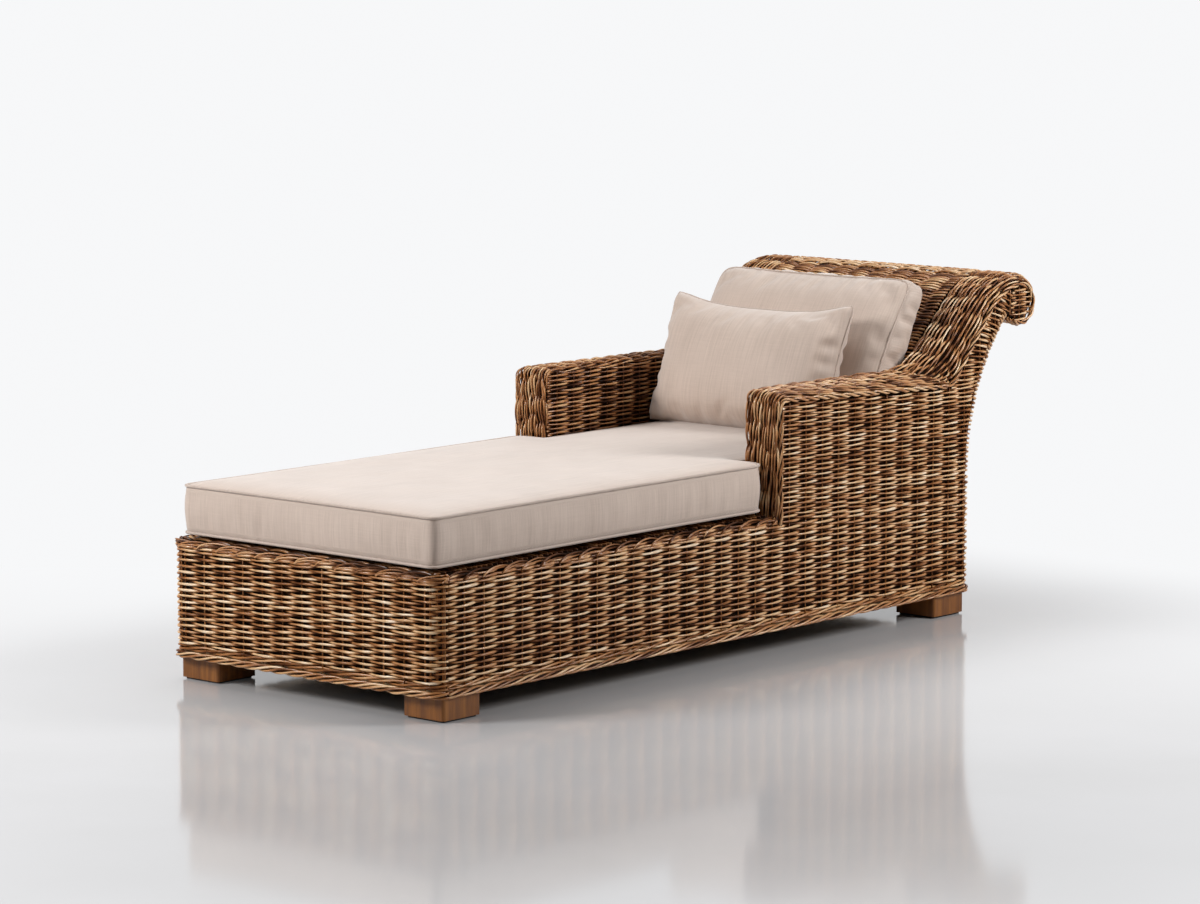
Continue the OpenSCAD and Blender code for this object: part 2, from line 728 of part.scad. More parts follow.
// Border bar along the right side, from the corner bend to y1
module side_bar(d, z, y1) {
    y0 = front_y + corner_r + braid_proud;
    color([0.6, 0.4, 0.22]) translate([body_w / 2 - d / 2, y0, z]) rotate([-90, 0, 0])
        cylinder(h = y1 - y0, r = d / 2);
}

top_border_z = deck_z - top_border_d / 2;
bottom_border_z = foot_h + gap + bottom_border_d / 2;

module top_border_foot() { end_bar(top_border_d, top_border_z); }
module top_border_left() { handed(true) side_bar(top_border_d, top_border_z, arm_front_y - gap); }
module top_border_right() { side_bar(top_border_d, top_border_z, arm_front_y - gap); }
module bottom_border_front() { end_bar(bottom_border_d, bottom_border_z); }
module bottom_border_rear() {
    translate([0, front_y + back_y, 0]) mirror([0, 1, 0]) end_bar(bottom_border_d, bottom_border_z);
}
module bottom_borders_side() {
    for (left = [false, true]) handed(left)
        side_bar(bottom_border_d, bottom_border_z, back_y - corner_r - braid_proud);
}

// Cushions

// Points of a side from p to q, bowed inwards by pull, without its end
function pulled(p, q, pull, n) = let (d = (q - p) / norm(q - p), inward = [-d[1], d[0]])
    [for (k = [0 : n - 1]) let (f = k / n) p + (q - p) * f + inward * pull * 4 * f * (1 - f)];

// Rounded corner about centre c from angle a through turn t, without its end
function corner(c, r, a, t, n) = [for (k = [0 : n - 1]) c + ahead(a + t * k / n) * r];

// Seat cushion outline, counter-clockwise from the front right
cushion_x = face_x - seat_inset_x;
cushion_in_x = arm_in_x - ease - 2 * piping_r;
cushion_y0 = face_front_y + seat_inset_y;
cushion_step_y = arm_front_y - ease - 2 * piping_r;
cushion_y1 = seat_rear_y - ease - 2 * piping_r;
function seat_outline(e, r = seat_edge_r, s = seat_inner_r) = let (
    x = cushion_x + e,
    i = cushion_in_x + e,
    y0 = cushion_y0 - e,
    ys = cushion_step_y + e,
    y1 = cushion_y1 + e)
    concat(
        corner([x - r, y0 + r], r, -90, 90, 3),
        pulled([x, y0 + r], [x, ys - r], seat_pull, 8),
        corner([x - r, ys - r], r, 0, 90, 3),
        pulled([x - r, ys], [i + s, ys], 0, 1),
        corner([i + s, ys + s], s, 270, -90, 2),
        pulled([i, ys + s], [i, y1 - r], seat_side_pull, 5),
        corner([i - r, y1 - r], r, 0, 90, 3),
        pulled([i - r, y1], [-i + r, y1], seat_side_pull, 5),
        corner([-i + r, y1 - r], r, 90, 90, 3),
        pulled([-i, y1 - r], [-i, ys + s], seat_side_pull, 5),
        corner([-i - s, ys + s], s, 0, -90, 2),
        pulled([-i - s, ys], [-x + r, ys], 0, 1),
        corner([-x + r, ys - r], r, 90, 90, 3),
        pulled([-x, ys - r], [-x, y0 + r], seat_pull, 8),
        corner([-x + r, y0 + r], r, 180, 90, 3),
        pulled([-x + r, y0], [x - r, y0], seat_pull, 6));

// Share of the reach in from the seam, and share of the crown gained there
rise_shares = [[0.05, 0.3], [0.16, 0.58], [0.4, 0.85], [1, 1]];
seat_low_seam_z = deck_z + gap + seat_low_crown;
seat_top_seam_z = seat_low_seam_z + seat_t;
seat_top_z = seat_top_seam_z + seat_crown;

module seat_cushion() {
    mid = [0, (cushion_y0 + cushion_step_y) / 2];
    function ring(inset, z) = [for (p = seat_outline(-inset)) [p[0], p[1], z]];
    color([0.85, 0.8, 0.75]) pillow_skin(concat(
            [for (i = [len(rise_shares) - 1 : -1 : 0]) let (s = rise_shares[i])
                ring(crown_reach * s[0], seat_top_seam_z + seat_crown * s[1])],
            [ring(0, seat_top_seam_z)],
            [ring(0, seat_low_seam_z)],
            [for (s = rise_shares) ring(crown_reach * s[0], seat_low_seam_z - seat_low_crown * s[1])]),
        [mid[0], mid[1], seat_top_z], [mid[0], mid[1], deck_z + gap]);
}

// Cord of radius r round a closed loop of points in space, flat along n
module cord_ring(loop, out, r) {
    m = len(loop);
    sides = 6;
    function spoke(i) = let (d = loop[(i + 1) % m] - loop[(i + m - 1) % m]) cross(d / norm(d), out);
    pts = [for (i = [0 : m - 1]) for (k = [0 : sides - 1])
        loop[i] + spoke(i) * r * cos(360 * k / sides) + out * r * sin(360 * k / sides)];
    polyhedron(points = pts, faces = [for (i = [0 : m - 1]) for (k = [0 : sides - 1]) for (h = [0, 1])
        let (a = i * sides + k, b = i * sides + (k + 1) % sides,
            c = ((i + 1) % m) * sides + k, d = ((i + 1) % m) * sides + (k + 1) % sides)
        h == 0 ? [a, b, d] : [a, d, c]]);
}

module seat_piping() {
    o = seat_outline(piping_r + gap);
    color([0.8, 0.74, 0.68]) for (z = [seat_top_seam_z, seat_low_seam_z])
        cord_ring([for (p = o) [p[0], p[1], z]], [0, 0, 1], piping_r);
}

// A cushion stood up and leaned back: u across, v up the lean from the seat
// cushion to the height h, w forwards. Its foot lies flat on the seat cushion.
lean_z = seat_top_z + gap;
function leaned(u, v, w, lean, y, h) = let (f = v / h) [
    u,
    y + v * sin(lean) - w * (cos(lean) * f + (1 - f) / cos(lean)),
    lean_z + v * cos(lean) + w * sin(lean) * f];

// Point of an outline drawn in towards the middle, more so at the corners
function drawn_in(p, mid, half, share) = let (
    d = p - mid,
    k = 1 / norm([d[0] / half[0], d[1] / half[1]]))
    mid + d * share * (share + (1 - share) * k);

// Outline of an upright cushion, grown by e, with its foot edge at v = foot
function box_outline(w, h, r, pull, e = 0, foot = 0) = let (low = foot + r)
    concat(
        corner([w / 2 + e - r, low - e], r, -90, 90, 4),
        pulled([w / 2 + e, low - e], [w / 2 + e, h - r + e], pull, 6),
        corner([w / 2 + e - r, h - r + e], r, 0, 90, 4),
        pulled([w / 2 + e - r, h + e], [-w / 2 - e + r, h + e], pull, 8),
        corner([-w / 2 - e + r, h - r + e], r, 90, 90, 4),
        pulled([-w / 2 - e, h - r + e], [-w / 2 - e, low - e], pull, 6),
        corner([-w / 2 - e + r, low - e], r, 180, 90, 4),
        pulled([-w / 2 - e + r, foot - e], [w / 2 + e - r, foot - e], 0, 6));

// It fits between the wings where the woven back's bend ends
back_cushion_w = 2 * (wing_x(inner()[2][0][1]) - 2 * piping_r - gap);
// The back cushion's rear lies on the bend of the woven back
back_rest = at(inner()[1], (inner_angle + back_cushion_lean - 90) / (inner_angle - sweep_angle));
back_rear_y = back_rest[0] - gap / cos(back_cushion_lean) - (back_rest[1] - lean_z) * tan(back_cushion_lean);
function back_point(p, w) = leaned(p[0], p[1], w, back_cushion_lean, back_rear_y, back_cushion_h);
// Height of the front seam's lower run, with room for the piping under it
back_foot = 2 * piping_r + gap;
function back_outline(e, foot) = box_outline(back_cushion_w, back_cushion_h, back_edge_r, back_pull, e, foot);
function back_seam_w(v) = back_cushion_t * (1 - back_narrow_share * pow(max(0, v) / back_cushion_h, 3));

// Share of the way out from the middle, and share of the crown left there
crown_shares = [[0.25, 0.98], [0.5, 0.92], [0.72, 0.78], [0.88, 0.54], [0.97, 0.26]];

module back_cushion() {
    o = back_outline(0, back_foot);
    mid = [0, (back_cushion_h + back_foot) / 2];
    half = [back_cushion_w, back_cushion_h - back_foot] / 2;
    color([0.85, 0.8, 0.75]) pillow_skin(concat(
            [for (s = crown_shares) [for (p = o) let (q = drawn_in(p, mid, half, s[0]))
                back_point(q, back_seam_w(q[1]) + back_crown * s[1])]],
            [[for (p = o) back_point(p, back_seam_w(p[1]))]],
            [[for (p = back_outline(0, 0)) back_point(p, 0)]]),
        back_point(mid, back_seam_w(mid[1]) + back_crown), back_point(mid, 0));
}

module back_piping() {
    o = back_outline(piping_r + gap, back_foot);
    out = [0, -cos(back_cushion_lean), sin(back_cushion_lean)];
    color([0.8, 0.74, 0.68]) cord_ring([for (p = o) back_point(p, back_seam_w(p[1]))], out, piping_r);
}

// The lumbar pillow leans on the back cushion, crown to crown at its mid height
pillow_w = 2 * (arm_in_x - pillow_room);
pillow_y = back_rear_y - gap - (back_cushion_t + back_crown) / cos(back_cushion_lean)
    - pillow_half_t / cos(pillow_lean)
    + pillow_h / 2 * cos(pillow_lean) * (tan(back_cushion_lean) - tan(pillow_lean));
function pillow_point(p, w) = let (q = leaned(p[0], p[1], w, pillow_lean, pillow_y, pillow_h))
    [q[0] + pillow_shift, q[1], q[2]];

module lumbar_pillow() {
    o = box_outline(pillow_w, pillow_h, pillow_edge_r, pillow_pull);
    mid = [0, pillow_h / 2];
    half = [pillow_w, pillow_h] / 2;
    function puffed(share) = pillow_seam_t + (pillow_half_t - pillow_seam_t) * share;
    function ring(s, face) = [for (p = o) pillow_point(drawn_in(p, mid, half, s[0]), face * puffed(s[1]))];
    color([0.88, 0.83, 0.78]) pillow_skin(concat(
            [for (s = crown_shares) ring(s, 1)],
            [[for (p = o) pillow_point(p, pillow_seam_t)]],
            [[for (p = o) pillow_point(p, -pillow_seam_t)]],
            [for (i = [len(crown_shares) - 1 : -1 : 0]) ring(crown_shares[i], -1)]),
        pillow_point(mid, pillow_half_t), pillow_point(mid, -pillow_half_t));
}

foot_front_left();
foot_front_right();
foot_rear_left();
foot_rear_right();
glides();
foot_bolts();
corner_posts();
lower_rail_front();
lower_rail_rear();
lower_rails_side();
upper_rail_front();
upper_rail_rear();
upper_rail_left();
upper_rail_right();
deck_spine();
deck_slats();
side_pole_left();
side_pole_right();
back_pole_left();
back_pole_right();
back_rail_poles();
roll_pole();
scroll_discs();
seat_deck();
foot_panel();
base_side_left();
base_side_right();
rear_panel_lower();
rear_panel_upper();
inner_back();
roll_cover();
arm_outer_left();
arm_outer_right();
arm_inner_left();
arm_inner_right();
arm_band_left();
arm_band_right();
wing_band_left();
wing_band_right();
arm_cane_left();
arm_cane_right();
top_border_foot();
top_border_left();
top_border_right();
bottom_border_front();
bottom_border_rear();
bottom_borders_side();
seat_cushion();
seat_piping();
back_cushion();
back_piping();
lumbar_pillow();
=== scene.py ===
"""Looks of a rattan sun lounger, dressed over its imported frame.

The weave is made strand by strand: each strand passes in front of one stake and
behind the next, and its neighbours the other way round. The side
outlines are walks of runs and bends in the Y-Z plane, as in the frame.
"""

import json
import math

import bpy
import numpy as np
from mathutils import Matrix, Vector, noise


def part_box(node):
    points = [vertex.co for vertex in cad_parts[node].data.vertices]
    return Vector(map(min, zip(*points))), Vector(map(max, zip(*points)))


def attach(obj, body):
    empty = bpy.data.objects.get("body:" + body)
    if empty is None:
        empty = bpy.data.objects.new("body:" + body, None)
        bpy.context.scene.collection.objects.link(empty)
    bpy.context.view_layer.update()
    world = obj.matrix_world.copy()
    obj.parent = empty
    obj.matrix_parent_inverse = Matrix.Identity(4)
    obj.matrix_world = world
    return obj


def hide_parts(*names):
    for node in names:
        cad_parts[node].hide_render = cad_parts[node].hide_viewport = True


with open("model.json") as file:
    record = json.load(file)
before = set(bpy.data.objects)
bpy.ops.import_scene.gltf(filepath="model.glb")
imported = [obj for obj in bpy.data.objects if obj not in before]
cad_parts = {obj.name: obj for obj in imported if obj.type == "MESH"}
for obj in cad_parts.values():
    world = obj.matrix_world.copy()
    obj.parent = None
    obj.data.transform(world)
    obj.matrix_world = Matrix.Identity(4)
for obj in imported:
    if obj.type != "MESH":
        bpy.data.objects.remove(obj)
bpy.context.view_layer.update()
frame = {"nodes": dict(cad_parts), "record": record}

FRAME_BODY = "lounger"
SIDE_NAMES = {1: "right", -1: "left"}


# Sizes, in metres, read from the frame

def low(node):
    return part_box(node)[0]


def high(node):
    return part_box(node)[1]


MM = 0.001
GAP = 0.3 * MM
FACE_X = high("base_side_right").x
FACE_FRONT_Y = low("foot_panel").y
FACE_BACK_Y = high("rear_panel_lower").y
SKIN_LOW_Z = low("base_side_right").z
FRAME_TOP_Z = high("base_side_right").z
REAR_BEND_Z = high("rear_panel_lower").z
DECK_Z = high("seat_deck").z
DECK_UNDER_Z = low("seat_deck").z
DECK_FRONT_Y = low("seat_deck").y
DECK_HALF_W = high("seat_deck").x
SEAT_REAR_Y = high("seat_deck").y + GAP
SKIN_T = DECK_Z - DECK_UNDER_Z
CORNER_R = low("base_side_right").y - FACE_FRONT_Y
HALF_W = high("top_border_foot").x
TOP_BORDER_D = high("top_border_foot").z - low("top_border_foot").z
BOTTOM_BORDER_D = high("bottom_border_front").z - low("bottom_border_front").z
TOP_BORDER_Z = high("top_border_foot").z - TOP_BORDER_D / 2
BOTTOM_BORDER_Z = high("bottom_border_front").z - BOTTOM_BORDER_D / 2
ARM_FRONT_Y = low("arm_band_right").y
ARM_TOP_Z = high("arm_band_right").z
ARM_IN_X = low("arm_band_right").x
WING_IN_X = low("wing_band_right").x
OVERALL_H = high("wing_band_right").z
ROLL_END_Y = high("wing_band_right").y

# Shape of the side outlines
ARM_CORNER_R = 30 * MM
SWEEP_ANGLE = 38
SWEEP_R = 220 * MM
CREST_R = 260 * MM
ROLL_R = 63 * MM
ROLL_TURN = 220
ROLL_CY = ROLL_END_Y - ROLL_R
ROLL_CZ = OVERALL_H - ROLL_R
FRONT_ROUND = 18 * MM
CANE_R = 6 * MM
CANE_FRONT_Z = ARM_TOP_Z - 23 * MM
CANE_CORNER_R = 14 * MM
CANE_FALL = 2.2
CANE_BEND_R = 50 * MM
CANE_ANGLE = 48
CANE_CREST_R = 170 * MM
RING_R = 47 * MM
RING_CZ = ROLL_CZ - 12 * MM
INNER_ANGLE = 79
INNER_BEND_R = 80 * MM
INNER_CREST_TURN = 28
BACK_RECESS = 4 * MM
BAND_T = 16 * MM
BAND_EDGE_R = 14 * MM
BRAID_PROUD = HALF_W - FACE_X
SHOULDER_X = FACE_X - 43 * MM
CANE_X = HALF_W - CANE_R - GAP

# The weave
STRAND_R = 2.8 * MM
STRAND_LIFT = SKIN_T / 2 - STRAND_R
# Along each stretch in front of a stake a strand gets thicker towards its far end, and a painted highlight
# makes it paler there
SWELL_SHARE = 0.2
PAINTED_HIGHLIGHT_SHARE = 0.16
# Painted shade: how much a strand's colour darkens where it lies behind a stake
BEHIND_PAINTED_SHADE = 0.62
# Where behind a stake a strand starts to get painted shade, as the cosine of its turn
HIDDEN_FROM = -0.1
# How far the strands stand out halfway between two stakes, as a share of their lift
PROUD_SHARE = 0.3
# How far a strand's bends stray from the stakes, as a turn in radians
SLIP = 0.36
STAKE_R = 2 * MM
POST_R = 2.8 * MM
POST_DEPTH = 0.6 * SKIN_T
RISE = 0.4 * MM
# Two rows of strands, one in front of the odd stakes and one of the even ones
ROW_PITCH = 12.8 * MM
STAKE_PITCH = 60 * MM
# Depth of the near-black sheet of painted shade behind the strands
SHADE_SHEET_DEPTH = SKIN_T - 0.6 * MM
STEPS_PER_STAKE = 8
TUBE_SIDES = 6
ARM_ROW_PITCH = 11 * MM
ARM_STRAND_R = 2.5 * MM
INNER_ARM_ROW_PITCH = 10.4 * MM
# Fall of the outer arm's rows towards the rear, as a slope
LEVEL_FALL = 0.02
# The neck's rows stand further apart and fall outwards by a share of the rear edge's lean
NECK_SPREAD = 0.22
NECK_SQUARENESS = 0.5
NECK_LEAN_MOST = 60
DISC_STAKE_PITCH = 44 * MM
WALING_R = 2.6 * MM
WALING_HELIX = 4.6 * MM
BACK_ROW_PITCH = 10.8 * MM


# Walks in the side plane: runs [length, 0] and bends [radius, turn]

def ahead(a):
    return np.array([math.cos(math.radians(a)), math.sin(math.radians(a))])


def right_of(a):
    return np.array([math.sin(math.radians(a)), -math.cos(math.radians(a))])


def turned(v, t):
    c = math.cos(math.radians(t))
    s = math.sin(math.radians(t))
    return np.array([v[0] * c - v[1] * s, v[0] * s + v[1] * c])


def walk(start, heading, moves, shift=0.0):
    """Steps of a walk shifted to its right: (start, heading, size, turn, centre)."""
    steps = []
    at = np.array(start, float) + right_of(heading) * shift
    for size, turn in moves:
        if turn == 0:
            steps.append((at, heading, size, 0, at))
            at = at + ahead(heading) * size
        else:
            side = 1 if turn > 0 else -1
            r = size + shift * side
            centre = at - right_of(heading) * r * side
            steps.append((at, heading, r, turn, centre))
            at = centre + turned(at - centre, turn)
        heading += turn
    return steps


def place_on(step, f):
    at, heading, size, turn, centre = step
    if turn == 0:
        return at + ahead(heading) * size * f
    return centre + turned(at - centre, turn * f)


def stations(steps, counts):
    """Points and headings, with the same fractions of each step for every shift."""
    at = [place_on(steps[0], 0)]
    heading = [steps[0][1]]
    for step, count in zip(steps, counts):
        for k in range(1, count + 1):
            at.append(place_on(step, k / count))
            heading.append(step[1] + step[3] * k / count)
    return np.array(at), np.array(heading, float)


def step_length(step):
    return step[2] if step[3] == 0 else abs(math.radians(step[3])) * step[2]


def counts_for(steps, spacing):
    return [max(1, math.ceil(step_length(s) / spacing)) for s in steps]


def cross2(u, v):
    return u[0] * v[1] - u[1] * v[0]


def joined(p, a, q, b, r):
    """Lengths of the two runs that a bend of radius r joins."""
    p = np.array(p)
    q = np.array(q)
    trim = r * math.tan(math.radians(abs(b - a)) / 2)
    u = cross2(q - p, ahead(b)) / cross2(ahead(a), ahead(b))
    v = np.linalg.norm(q - p - ahead(a) * u)
    return u - trim, v - trim


CREST_START = np.array([ROLL_CY, OVERALL_H - CREST_R]) + ahead(90 + SWEEP_ANGLE) * CREST_R
CROWN_RUNS = joined([ARM_FRONT_Y + ARM_CORNER_R, ARM_TOP_Z], 0, CREST_START, SWEEP_ANGLE, SWEEP_R)
CROWN_MOVES = [
    (ARM_TOP_Z - ARM_CORNER_R - FRAME_TOP_Z, 0),
    (ARM_CORNER_R, -90),
    (CROWN_RUNS[0], 0),
    (SWEEP_R, SWEEP_ANGLE),
    (CROWN_RUNS[1], 0),
    (CREST_R, -SWEEP_ANGLE),
    (ROLL_R, -ROLL_TURN),
]
CANE_CORNER = np.array([ARM_FRONT_Y + FRONT_ROUND + CANE_CORNER_R, CANE_FRONT_Z - CANE_CORNER_R])
CANE_LEVEL = CANE_CORNER + turned([-CANE_CORNER_R, 0], -90 - CANE_FALL)
CANE_CREST = np.array([ROLL_CY, RING_CZ + RING_R - CANE_CREST_R]) + ahead(90 + CANE_ANGLE) * CANE_CREST_R
CANE_RUNS = joined(CANE_LEVEL, -CANE_FALL, CANE_CREST, CANE_ANGLE, CANE_BEND_R)
CANE_MOVES = [
    (CANE_FRONT_Z - CANE_CORNER_R - FRAME_TOP_Z, 0),
    (CANE_CORNER_R, -90 - CANE_FALL),
    (CANE_RUNS[0], 0),
    (CANE_BEND_R, CANE_ANGLE + CANE_FALL),
    (CANE_RUNS[1], 0),
    (CANE_CREST_R, -CANE_ANGLE),
    (RING_R, -ROLL_TURN),
]
INNER_RUNS = joined([SEAT_REAR_Y, DECK_UNDER_Z], INNER_ANGLE,
                    CREST_START + right_of(SWEEP_ANGLE) * BACK_RECESS, SWEEP_ANGLE, INNER_BEND_R)
INNER_MOVES = [
    (INNER_RUNS[0], 0),
    (INNER_BEND_R, SWEEP_ANGLE - INNER_ANGLE),
    (INNER_RUNS[1], 0),
    (CREST_R - BACK_RECESS, -INNER_CREST_TURN),
]
REAR_LAND = np.array([ROLL_CY, ROLL_CZ]) + ahead(90 - ROLL_TURN) * ROLL_R
REAR_OUT = REAR_LAND[0] - FACE_BACK_Y
REAR_RISE = REAR_LAND[1] - REAR_BEND_Z
REAR_R = (REAR_OUT ** 2 + REAR_RISE ** 2) / (2 * REAR_OUT)
REAR_TURN = math.degrees(math.asin(REAR_RISE / REAR_R))


def crown(shift=0.0):
    return walk([ARM_FRONT_Y, FRAME_TOP_Z], 90, CROWN_MOVES, shift)


def cane(shift=0.0):
    return walk([ARM_FRONT_Y + FRONT_ROUND, FRAME_TOP_Z], 90, CANE_MOVES, shift)


def inner(shift=0.0):
    return walk([SEAT_REAR_Y, DECK_UNDER_Z], INNER_ANGLE, INNER_MOVES, shift)


def rear(shift=0.0):
    return walk([FACE_BACK_Y, FRAME_TOP_Z], 90,
                [(REAR_BEND_Z - FRAME_TOP_Z, 0), (REAR_R, -REAR_TURN)], shift)


def wing_x(z):
    """Half width between the bands at a height."""
    share = np.clip((z - ARM_TOP_Z) / (OVERALL_H - ARM_TOP_Z), 0, 1)
    return ARM_IN_X - (ARM_IN_X - WING_IN_X) * share


# Seeded values

def seeded(*key):
    value = 17
    for k in key:
        value = (value * 1009 + int(k) * 9176 + 71) % 2147483647
    return np.random.default_rng(value)


def wander(length, spacing, rng, at):
    """Smooth random values along a length, roughly -1 to 1."""
    count = int(length / spacing) + 4
    return np.interp(at, np.arange(count) * spacing - spacing, rng.uniform(-1, 1, count))


# Gathering tubes and sheets into one mesh

def run_of(path):
    """Distance along a path at each of its points."""
    return np.concatenate([[0], np.cumsum(np.linalg.norm(np.diff(path, axis=0), axis=1))])


def spaced(first, last, spacing):
    return np.linspace(first, last, max(2, math.ceil(abs(last - first) / spacing) + 1))


def each(vector, points):
    """The same direction at every point."""
    return np.tile(np.array(vector, float), (len(points), 1))


def at_height(plan, z):
    return np.column_stack([plan, np.full(len(plan), z)])


def at_x(side_plane, x):
    return np.column_stack([np.full(len(side_plane), x), side_plane])


def unit(vectors):
    return vectors / np.linalg.norm(vectors, axis=1)[:, None]


def placed(name, data):
    thing = bpy.data.objects.new(name, data)
    bpy.context.scene.collection.objects.link(thing)
    return thing


def point_attribute(mesh, name, values):
    values = np.asarray(values, np.float32)
    kind, key = ("FLOAT", "value") if values.ndim == 1 else ("FLOAT_VECTOR", "vector")
    mesh.attributes.new(name, kind, "POINT").data.foreach_set(key, values.ravel())


class Bundle:
    def __init__(self):
        self.blocks = ([], [], [], [], [])
        self.total = 0

    def add(self, grid, fibre, tone, kind, closed):
        """A grid of points, wrapped round its second side if closed."""
        rows, cols = grid.shape[:2]
        i, k = np.meshgrid(np.arange(rows - 1), np.arange(cols if closed else cols - 1), indexing="ij")
        j = (k + 1) % cols
        quads = np.stack([i * cols + k, i * cols + j, (i + 1) * cols + j, (i + 1) * cols + k], -1)
        quads = quads.reshape(-1, 4) + self.total
        added = (grid.reshape(-1, 3), fibre.reshape(-1, 3), np.broadcast_to(tone, (rows, cols)).reshape(-1),
                 quads, np.full(len(quads), kind))
        for block, values in zip(self.blocks, added):
            block.append(values)
        self.total += rows * cols

    def tube(self, path, normal, radius, rng, tone=0.5, sides=TUBE_SIDES):
        """A strand along a path, closed to a point just past each end."""
        if len(path) < 2:
            return
        along = np.gradient(path, axis=0)
        along /= np.linalg.norm(along, axis=1)[:, None] + 1e-12
        across = np.cross(along, normal)
        across /= np.linalg.norm(across, axis=1)[:, None] + 1e-12
        out = np.cross(across, along)
        radius = np.broadcast_to(radius, len(path)).astype(float)
        path = np.vstack([path[:1] - along[:1] * radius[0] / 2, path,
                          path[-1:] + along[-1:] * radius[-1] / 2])
        radius = np.concatenate([[radius[0] / 5], radius, [radius[-1] / 5]])
        tone = np.broadcast_to(tone, len(path) - 2)
        across, out, tone = (np.concatenate([v[:1], v, v[-1:]]) for v in (across, out, tone))
        angle = np.arange(sides) * 2 * math.pi / sides
        spoke = (np.cos(angle)[None, :, None] * out[:, None, :]
                 + np.sin(angle)[None, :, None] * across[:, None, :])
        grid = path[:, None, :] + radius[:, None, None] * spoke
        fibre = np.empty(grid.shape)
        fibre[..., 0] = (run_of(path) + rng.uniform(0, 40))[:, None]
        fibre[..., 1] = np.cos(angle)[None, :]
        fibre[..., 2] = np.sin(angle)[None, :]
        self.add(grid, fibre, tone[:, None], 0, True)

    def sheet(self, grid):
        """A near-black sheet behind the strands, painted shade for the dark gaps of the weave."""
        self.add(grid, grid.copy(), 0.0, 1, False)

    def build(self, name, materials):
        mesh = bpy.data.meshes.new(name)
        points, fibres, tones, quads, kinds = (np.concatenate(block) for block in self.blocks)
        mesh.vertices.add(len(points))
        mesh.vertices.foreach_set("co", points.astype(np.float32).ravel())
        mesh.loops.add(quads.size)
        mesh.loops.foreach_set("vertex_index", quads.astype(np.int32).ravel())
        mesh.polygons.add(len(quads))
        mesh.polygons.foreach_set("loop_start", np.arange(len(quads), dtype=np.int32) * 4)
        for material in materials:
            mesh.materials.append(material)
        mesh.update(calc_edges=True)
        mesh.polygons.foreach_set("material_index", kinds.astype(np.int32))
        mesh.polygons.foreach_set("use_smooth", np.ones(len(quads), bool))
        point_attribute(mesh, "fibre", fibres)
        point_attribute(mesh, "tone", tones)
        mesh.validate()
        return placed(name, mesh)


# Materials

class Graph:
    """Nodes of a material or a world. Values of inputs are sockets or plain values."""

    def __init__(self, owner):
        owner.use_nodes = True
        self.nodes = owner.node_tree.nodes
        self.links = owner.node_tree.links
        self.nodes.clear()

    def put(self, node, inputs):
        for key, value in inputs.items():
            if isinstance(value, bpy.types.NodeSocket):
                self.links.new(value, node.inputs[key])
            else:
                node.inputs[key].default_value = value
        return node

    def node(self, kind, inputs=None, operation=None):
        node = self.nodes.new(kind)
        if operation:
            node.operation = operation
        return self.put(node, inputs or {})

    def math(self, operation, *values):
        return self.node("ShaderNodeMath", dict(enumerate(values)), operation).outputs[0]

    def vector(self, operation, *values, output="Vector"):
        return self.node("ShaderNodeVectorMath", dict(enumerate(values)), operation).outputs[output]

    def noise(self, vector, scale, detail=3.0, rough=0.5):
        stretch = self.node("ShaderNodeMapping", {"Vector": vector, "Scale": scale})
        return self.node("ShaderNodeTexNoise", {"Vector": stretch.outputs["Vector"],
                                                "Scale": 1.0, "Detail": detail,
                                                "Roughness": rough}).outputs["Fac"]

    def ramp(self, value, stops):
        node = self.node("ShaderNodeValToRGB", {"Fac": value})
        elements = node.color_ramp.elements
        while len(elements) < len(stops):
            elements.new(0.5)
        for element, (place, colour) in zip(elements, stops):
            element.position = place
            element.color = (*colour, 1)
        return node.outputs["Color"]

    def attribute(self, name, output):
        node = self.node("ShaderNodeAttribute")
        node.attribute_name = name
        return node.outputs[output]

    def smooth(self, value, first, last, low_value=0.0, high_value=1.0):
        node = self.node("ShaderNodeMapRange")
        node.interpolation_type = "SMOOTHSTEP"
        self.put(node, {"From Min": first, "From Max": last, "To Min": low_value, "To Max": high_value,
                        "Value": value})
        return node.outputs["Result"]


class Look(Graph):
    """A material with its Principled shader."""

    def __init__(self, name):
        self.material = bpy.data.materials.new(name)
        super().__init__(self.material)
        self.shader = self.node("ShaderNodeBsdfPrincipled")
        self.output = self.node("ShaderNodeOutputMaterial", {"Surface": self.shader.outputs["BSDF"]})

    def shade(self, **inputs):
        """Sets inputs of the shader, whose names have spaces for underscores."""
        self.put(self.shader, {key.replace("_", " "): value for key, value in inputs.items()})

    def bump(self, height, strength, distance):
        node = self.node("ShaderNodeBump", {"Strength": strength, "Distance": distance, "Height": height})
        self.shade(Normal=node.outputs["Normal"])


RATTAN_STOPS = [
    (0.0, (0.022, 0.007, 0.003)),
    (0.2, (0.130, 0.042, 0.012)),
    (0.4, (0.420, 0.170, 0.050)),
    (0.62, (0.700, 0.440, 0.215)),
    (0.9, (0.960, 0.840, 0.680)),
]


def rattan_material(name, lift):
    look = Look(name)
    fibre = look.attribute("fibre", "Vector")
    tone = look.attribute("tone", "Fac")
    streak = look.noise(fibre, (22, 2.6, 2.6), 4.0, 0.6)
    mottle = look.noise(fibre, (75, 0.8, 0.8), 3.0, 0.55)
    spread = look.math("MULTIPLY_ADD", tone, 0.72, lift - 0.37)
    fine = look.math("MULTIPLY_ADD", streak, 0.55, spread)
    blotch = look.math("MULTIPLY_ADD", mottle, 0.3, fine)
    gloss = look.node("ShaderNodeMapRange", {"To Min": 0.2, "To Max": 0.42, "Value": mottle})
    look.shade(Base_Color=look.ramp(blotch, RATTAN_STOPS), Roughness=gloss.outputs["Result"],
               Specular_IOR_Level=look.smooth(tone, 0.1, 0.8, 0.05, 0.7))
    look.bump(streak, 0.35, 0.6 * MM)
    return look.material
